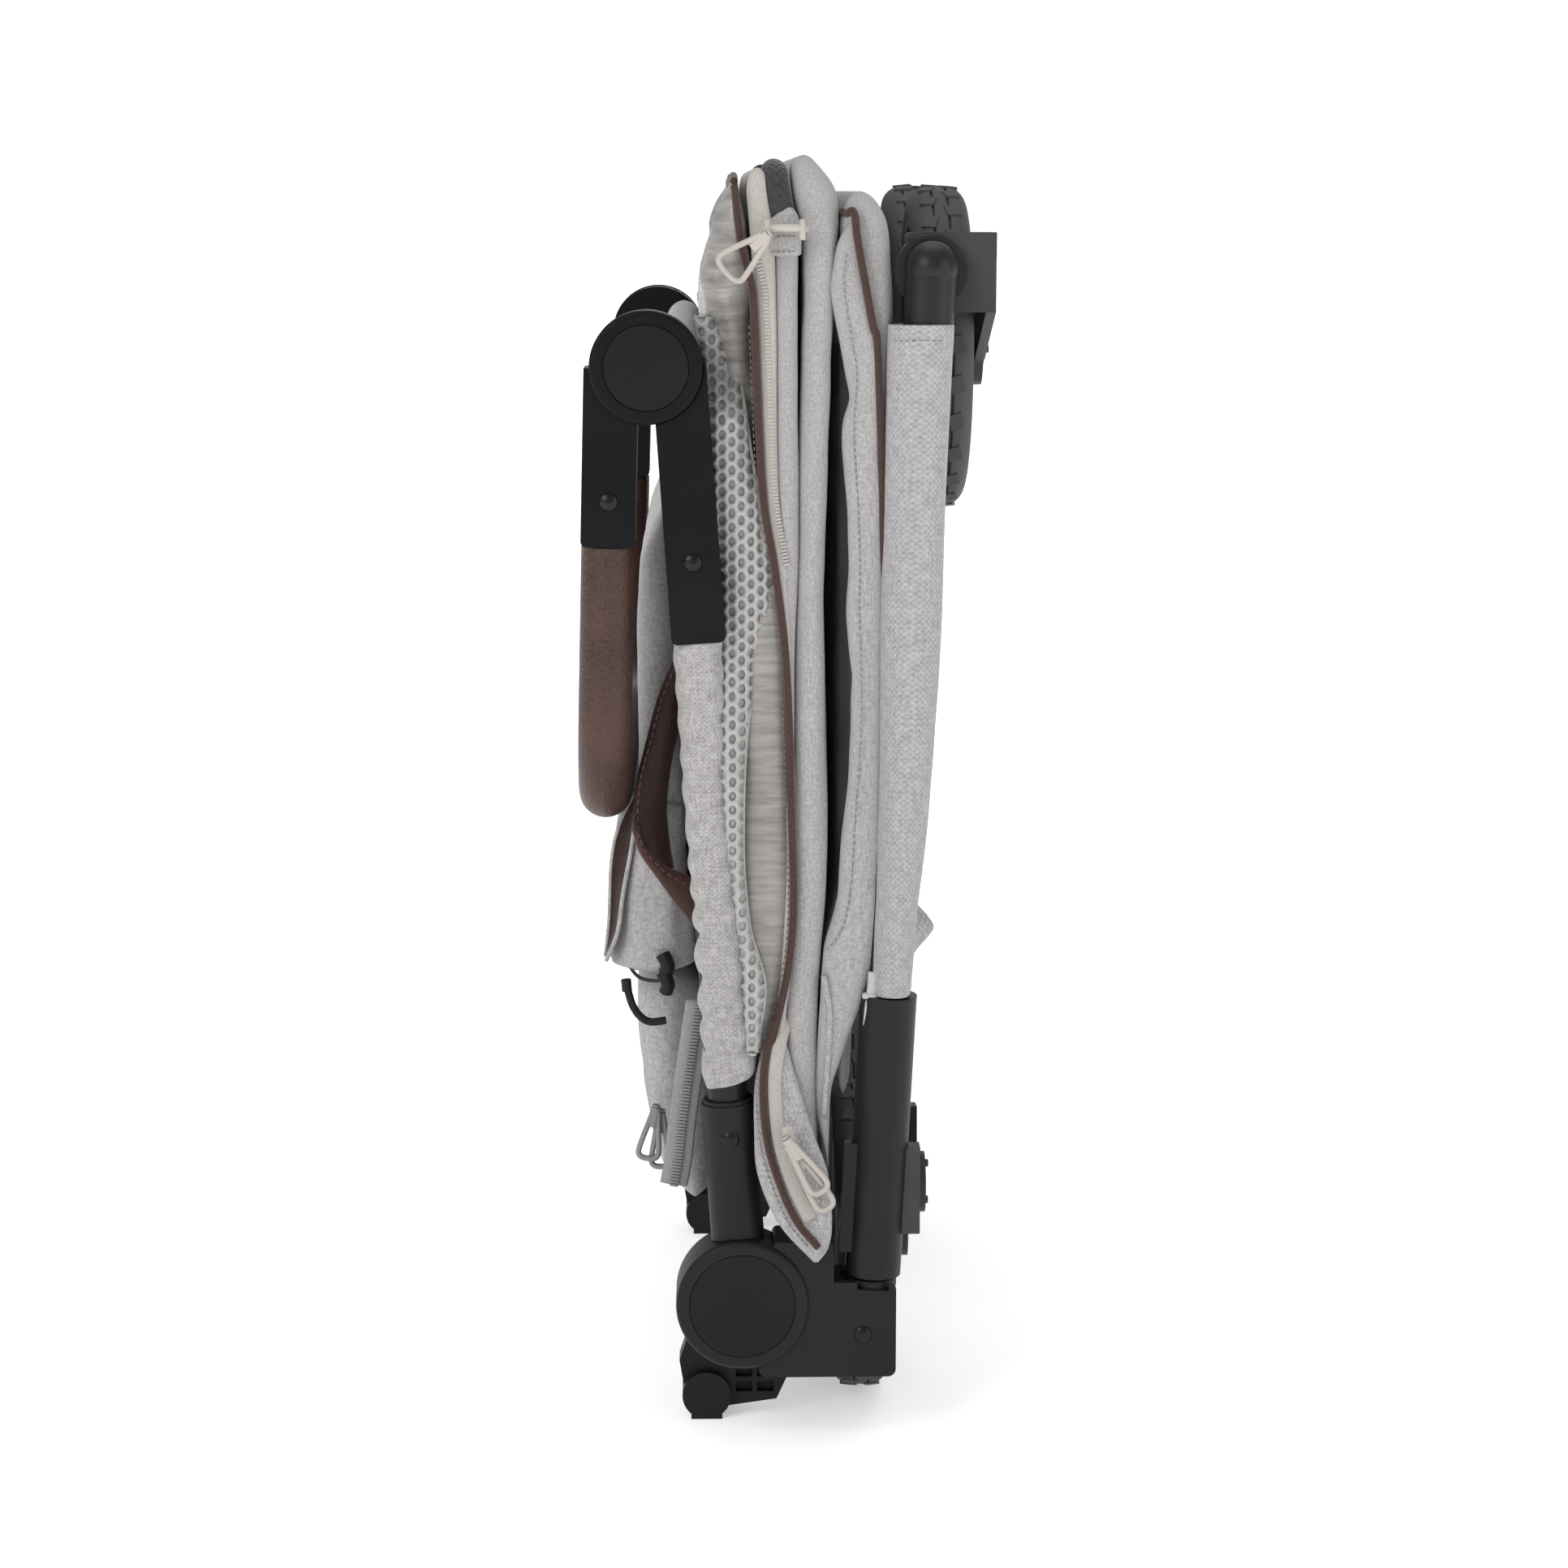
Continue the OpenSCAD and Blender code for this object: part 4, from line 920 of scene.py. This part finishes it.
mouthInner = [(-75, 322), (-77.5, 302), (-82, 278), (-85, 258), (-91, 243)]
pouch = foldedLayer("pocketPouch", {
    "left": [(240, -89)] + [(z, x) for x, z in mouthInner[:-1]],
    "right": [(236, -46), (324, -52)],
    "span": (236, 326), "front": 172, "depth": 16, "crease": 3.4, "seed": 33, "capTop": 5, "capLow": 5,
    "boxy": 0.9, "long": 60, "short": 14,
}, melangeCloth, "handle_frame", "back_pocket")
foldedLayer("pocketFront", {
    "left": [(238, -91)] + [(z, x) for x, z in mouthOuter],
    "right": [(236, -82), (278, -80), (327, -73)],
    "span": (238, 328), "front": 158, "depth": 10, "crease": 2.6, "seed": 35, "capTop": 4, "capLow": 6,
}, melangeCloth, "handle_frame", "back_pocket")
foldedLayer("zippedLowPanel", {
    "left": [(120, -60), (140, -68), (168, -73), (200, -76), (226, -76)],
    "right": [(120, -34), (226, -42)],
    "span": (112, 232), "front": 152, "depth": 20, "crease": 2.6, "seed": 34, "boxy": 1.0, "capLow": 20,
}, melangeCloth, "handle_frame", "back_pocket")
for sideName, side in bothSides:
    outer = smoothPath([(x, 0, z) for x, z in mouthOuter])
    inner = smoothPath([(x, 0, z) for x, z in mouthInner])
    lining = shapedGrid(
        "pocketLining" + sideName, 8, 30,
        lambda u, v: (
            outer(v).x * (1 - u) + inner(v).x * u, side * (160 + 9 * u - 3 * math.sin(math.pi * u)),
            outer(v).z * (1 - u) + inner(v).z * u,
        ),
        (10, 90), brownLining, thickness=0.8,
    )
    ridden(lining, "handle_frame")
    for rimName, rim, reach in (("Outer", mouthOuter, 159.5), ("Inner", mouthInner, 170.5)):
        run = [(x, side * reach, z) for x, z in rim]
        cordPiece("pocketRim" + rimName + sideName, run, 1.1, melangeCloth, "handle_frame")
    zipLine = [(-44, side * 187, 226), (-48, side * 188, 200), (-53, side * 188, 165), (-55, side * 187, 146),
               (-57.5, side * 185, 131)]
    coilLine = [(x, y + side * 1.2, z) for x, y, z in zipLine]
    zipCoil("backZip" + sideName, coilLine, greyPull, "handle_frame", width=4.4)
    tapeLine = [(x, y - side * 1.0, z) for x, y, z in zipLine]
    cordPiece(
        "backZipTape" + sideName, tapeLine, 7.0, greyTape, "handle_frame", sides=12, flat=0.16
    )

strapRun = {
    "outer": smoothTrack([(294, -62), (300, -69), (308, -74), (321, -76), (336, -75), (356, -70), (383, -62.5),
                          (406, -52)]),
    "inner": smoothTrack([(294, -57), (309, -59), (325, -60), (350, -57), (375, -50), (406, -42)]),
    "low": 294, "tall": 112,
}


def strapPlace(u, v):
    z = strapRun["low"] + strapRun["tall"] * v
    x = strapRun["outer"](z) * (1 - u) + strapRun["inner"](z) * u
    return (x, -190.5 - 2.4 * math.sin(math.pi * u) + 3.2 * u - 0.8 * math.sin(v * 9 + u * 3), z)


# the strap's upper run, in the darker webbing copy with painted shade
upper = shapedGrid("carryStrapUpper", 10, 44, strapPlace, (26, strapRun["tall"]), shadedStrapWebbing, thickness=1.5)
ridden(upper, "handle_frame", "carry_strap")
foldLow = [(-76.4, 315), (-72.5, 303), (-64.5, 291), (-55, 277), (-43, 262)]
foldHigh = [(-76, 321), (-71.5, 308), (-65, 299.5), (-57, 294), (-43, 288)]
lowEdge = smoothPath([(x, 0, z) for x, z in foldLow])
highEdge = smoothPath([(x, 0, z) for x, z in foldHigh])
# the strap's lower run, in the lighter webbing copy with painted light
lower = shapedGrid(
    "carryStrapLower", 10, 40,
    lambda u, v: (
        lowEdge(v).x * (1 - u) + highEdge(v).x * u,
        -195.4 - 1.8 * math.sin(math.pi * u) + 4 * v * v + 1.5 * u,
        lowEdge(v).z * (1 - u) + highEdge(v).z * u,
    ),
    (14, 80), litStrapWebbing, thickness=1.5,
)
ridden(lower, "handle_frame")
stitched = [
    (lowEdge(t).x * 0.2 + highEdge(t).x * 0.8, -197.2 + 4 * t * t, lowEdge(t).z * 0.2 + highEdge(t).z * 0.8)
    for t in (0.1, 0.3, 0.5, 0.7, 0.9)
]
stitchRow("strapStitches", stitched, brownThread, "handle_frame", radius=0.24)
stitched = [(strapRun["outer"](z) + 2, -193.4, z) for z in (305, 320, 340, 360, 380, 398)]
stitchRow("strapEdgeStitches", stitched, brownThread, "handle_frame", radius=0.24)
loopRun = [(-79.5, -166, 249), (-79.6, -167, 241), (-75, -168, 234.5), (-68, -169, 232.5), (-62, -170, 233)]
cordPiece("netLoop", loopRun, 0.95, elasticCord, "handle_frame", "net_loop", sides=10)
for knotName, z in (("High", 242), ("Low", 232.5)):
    knotRun = [(-62.5, -173, z + 5), (-60, -175, z), (-61, -173, z - 4.5)]
    cordPiece("loopKnot" + knotName, knotRun, 3.6, pedalPlastic, "handle_frame", sides=12)
hookRun = [(-80.5, -172, 231), (-79.5, -172, 226), (-77.5, -172, 220), (-74, -172.5, 215), (-69, -173, 212.3),
           (-61, -173, 213)]
cordPiece(
    "strapHook", hookRun, 2.0, pedalPlastic, "handle_frame", "strap_hook", sides=12, flat=0.7
)
hookTip = [(-81, -172, 234), (-80.5, -172, 228)]
cordPiece("strapHookTip", hookTip, 2.6, pedalPlastic, "handle_frame", sides=12)
zipPull("pocketPull", (-66.5, -172, 166), (-71, -172, 141), 10, greyPull, "zip_pull_pocket",
        "zip_pull_pocket")
zipPull("pocketPullUnder", (-64, -170, 163), (-64.5, -170, 136), 9, greyPull, "zip_pull_pocket")
print("back and strap made")

# the hub's plastic, seen round the end of each leg sleeve; in metres
collarShape = {
    "radius": 0.0125, "depth": 0.0052, "back": 0.004, "drop": 0.0032, "edge": 0.0005, "endRing": 0.0012,
}
for sideName, side in bothSides:
    leg = node["rear_leg_" + sideName.lower()].data.vertices
    lowZ = min(point.co.z for point in leg)
    ring = [point.co for point in leg if point.co.z < lowZ + collarShape["endRing"]]
    middle = sum((point.copy() for point in ring), Vector()) / len(ring)
    bpy.ops.mesh.primitive_cylinder_add(
        vertices=48, radius=collarShape["radius"], depth=collarShape["depth"],
        location=(middle.x - collarShape["back"], side * abs(middle.y), lowZ - collarShape["drop"]),
    )
    collar = bpy.context.object
    collar.name = "socketCollar" + sideName
    bpy.ops.object.transform_apply()
    applyModifier(collar, "BEVEL", width=collarShape["edge"])
    collar.data.materials.append(hubPlastic)
    ridden(collar, "seat_frame")
print("collars made")

tread = {
    "lugs": 26, "long": 0.0085, "tall": 0.0024, "proud": 0.00035,  # how many in a row, and metres
    "share": 0.24, "apart": 0.2, "turn": 0.25, "tilt": 0.08,  # shares of the tyre's width, and radians
}
for wheel in ("front", "rear"):
    for sideName in ("right", "left"):
        tyre = [point.co for point in node[wheel + "_tyre_" + sideName].data.vertices]
        low = Vector([min(point[k] for point in tyre) for k in range(3)])
        high = Vector([max(point[k] for point in tyre) for k in range(3)])
        centre = (low + high) / 2
        reach, width = (high.z - low.z) / 2, high.x - low.x
        bpy.ops.mesh.primitive_cube_add(size=1)
        lug = bpy.context.object
        lug.scale = (width * tread["share"], tread["long"], tread["tall"])
        bpy.ops.object.transform_apply()
        places = []
        for number in range(tread["lugs"]):
            for row in (-1, 1):
                angle = 2 * math.pi * (number + 0.25 * row) / tread["lugs"]
                spot = Matrix.Translation(centre) @ Matrix.Rotation(angle, 4, "X")
                rise = reach + tread["proud"] - tread["tall"] / 2
                spot = spot @ Matrix.Translation((row * width * tread["apart"], 0, rise))
                spot = spot @ Matrix.Rotation(row * tread["turn"], 4, "Z")
                places.append(spot @ Matrix.Rotation(row * tread["tilt"], 4, "Y"))
        lugs = copiesAlong("treadLugs" + wheel.title() + sideName.title(), lug, places)
        lugs.data.materials.clear()
        lugs.data.materials.append(tyreRubber)
        ridden(lugs, wheel + "_wheel_" + sideName)
print("tread made")

paperSheet = {"size": 60, "near": 0.35, "far": 1.1, "nearGlow": 0.4, "farGlow": 1.05}  # metres and strengths
bpy.ops.mesh.primitive_plane_add(size=paperSheet["size"], location=(0, 0, 0))
studioFloor = bpy.context.object
studioFloor.name = "studioFloor"
paper, paperTree, paperShader = newMaterial("whitePaperFloor", Roughness=0.9, Specular_IOR_Level=0.0)
paperShader.inputs["Base Color"].default_value = toLinear("#FFFFFF")
paperShader.inputs["Emission Color"].default_value = (1, 1, 1, 1)
paperPlace = addNode(paperTree, "ShaderNodeTexCoord").outputs["Object"]
paperReach = addNode(paperTree, "ShaderNodeVectorMath", {"operation": "LENGTH"}, {0: paperPlace})
paperGlow = addNode(
    paperTree, "ShaderNodeMapRange",
    {
        "From Min": paperSheet["near"], "From Max": paperSheet["far"], "To Min": paperSheet["nearGlow"],
        "To Max": paperSheet["farGlow"], "interpolation_type": "SMOOTHSTEP",
    },
    {"Value": paperReach.outputs["Value"]},
)
paperTree.links.new(paperGlow.outputs[0], paperShader.inputs["Emission Strength"])
studioFloor.data.materials.append(paper)

print("scene ready")
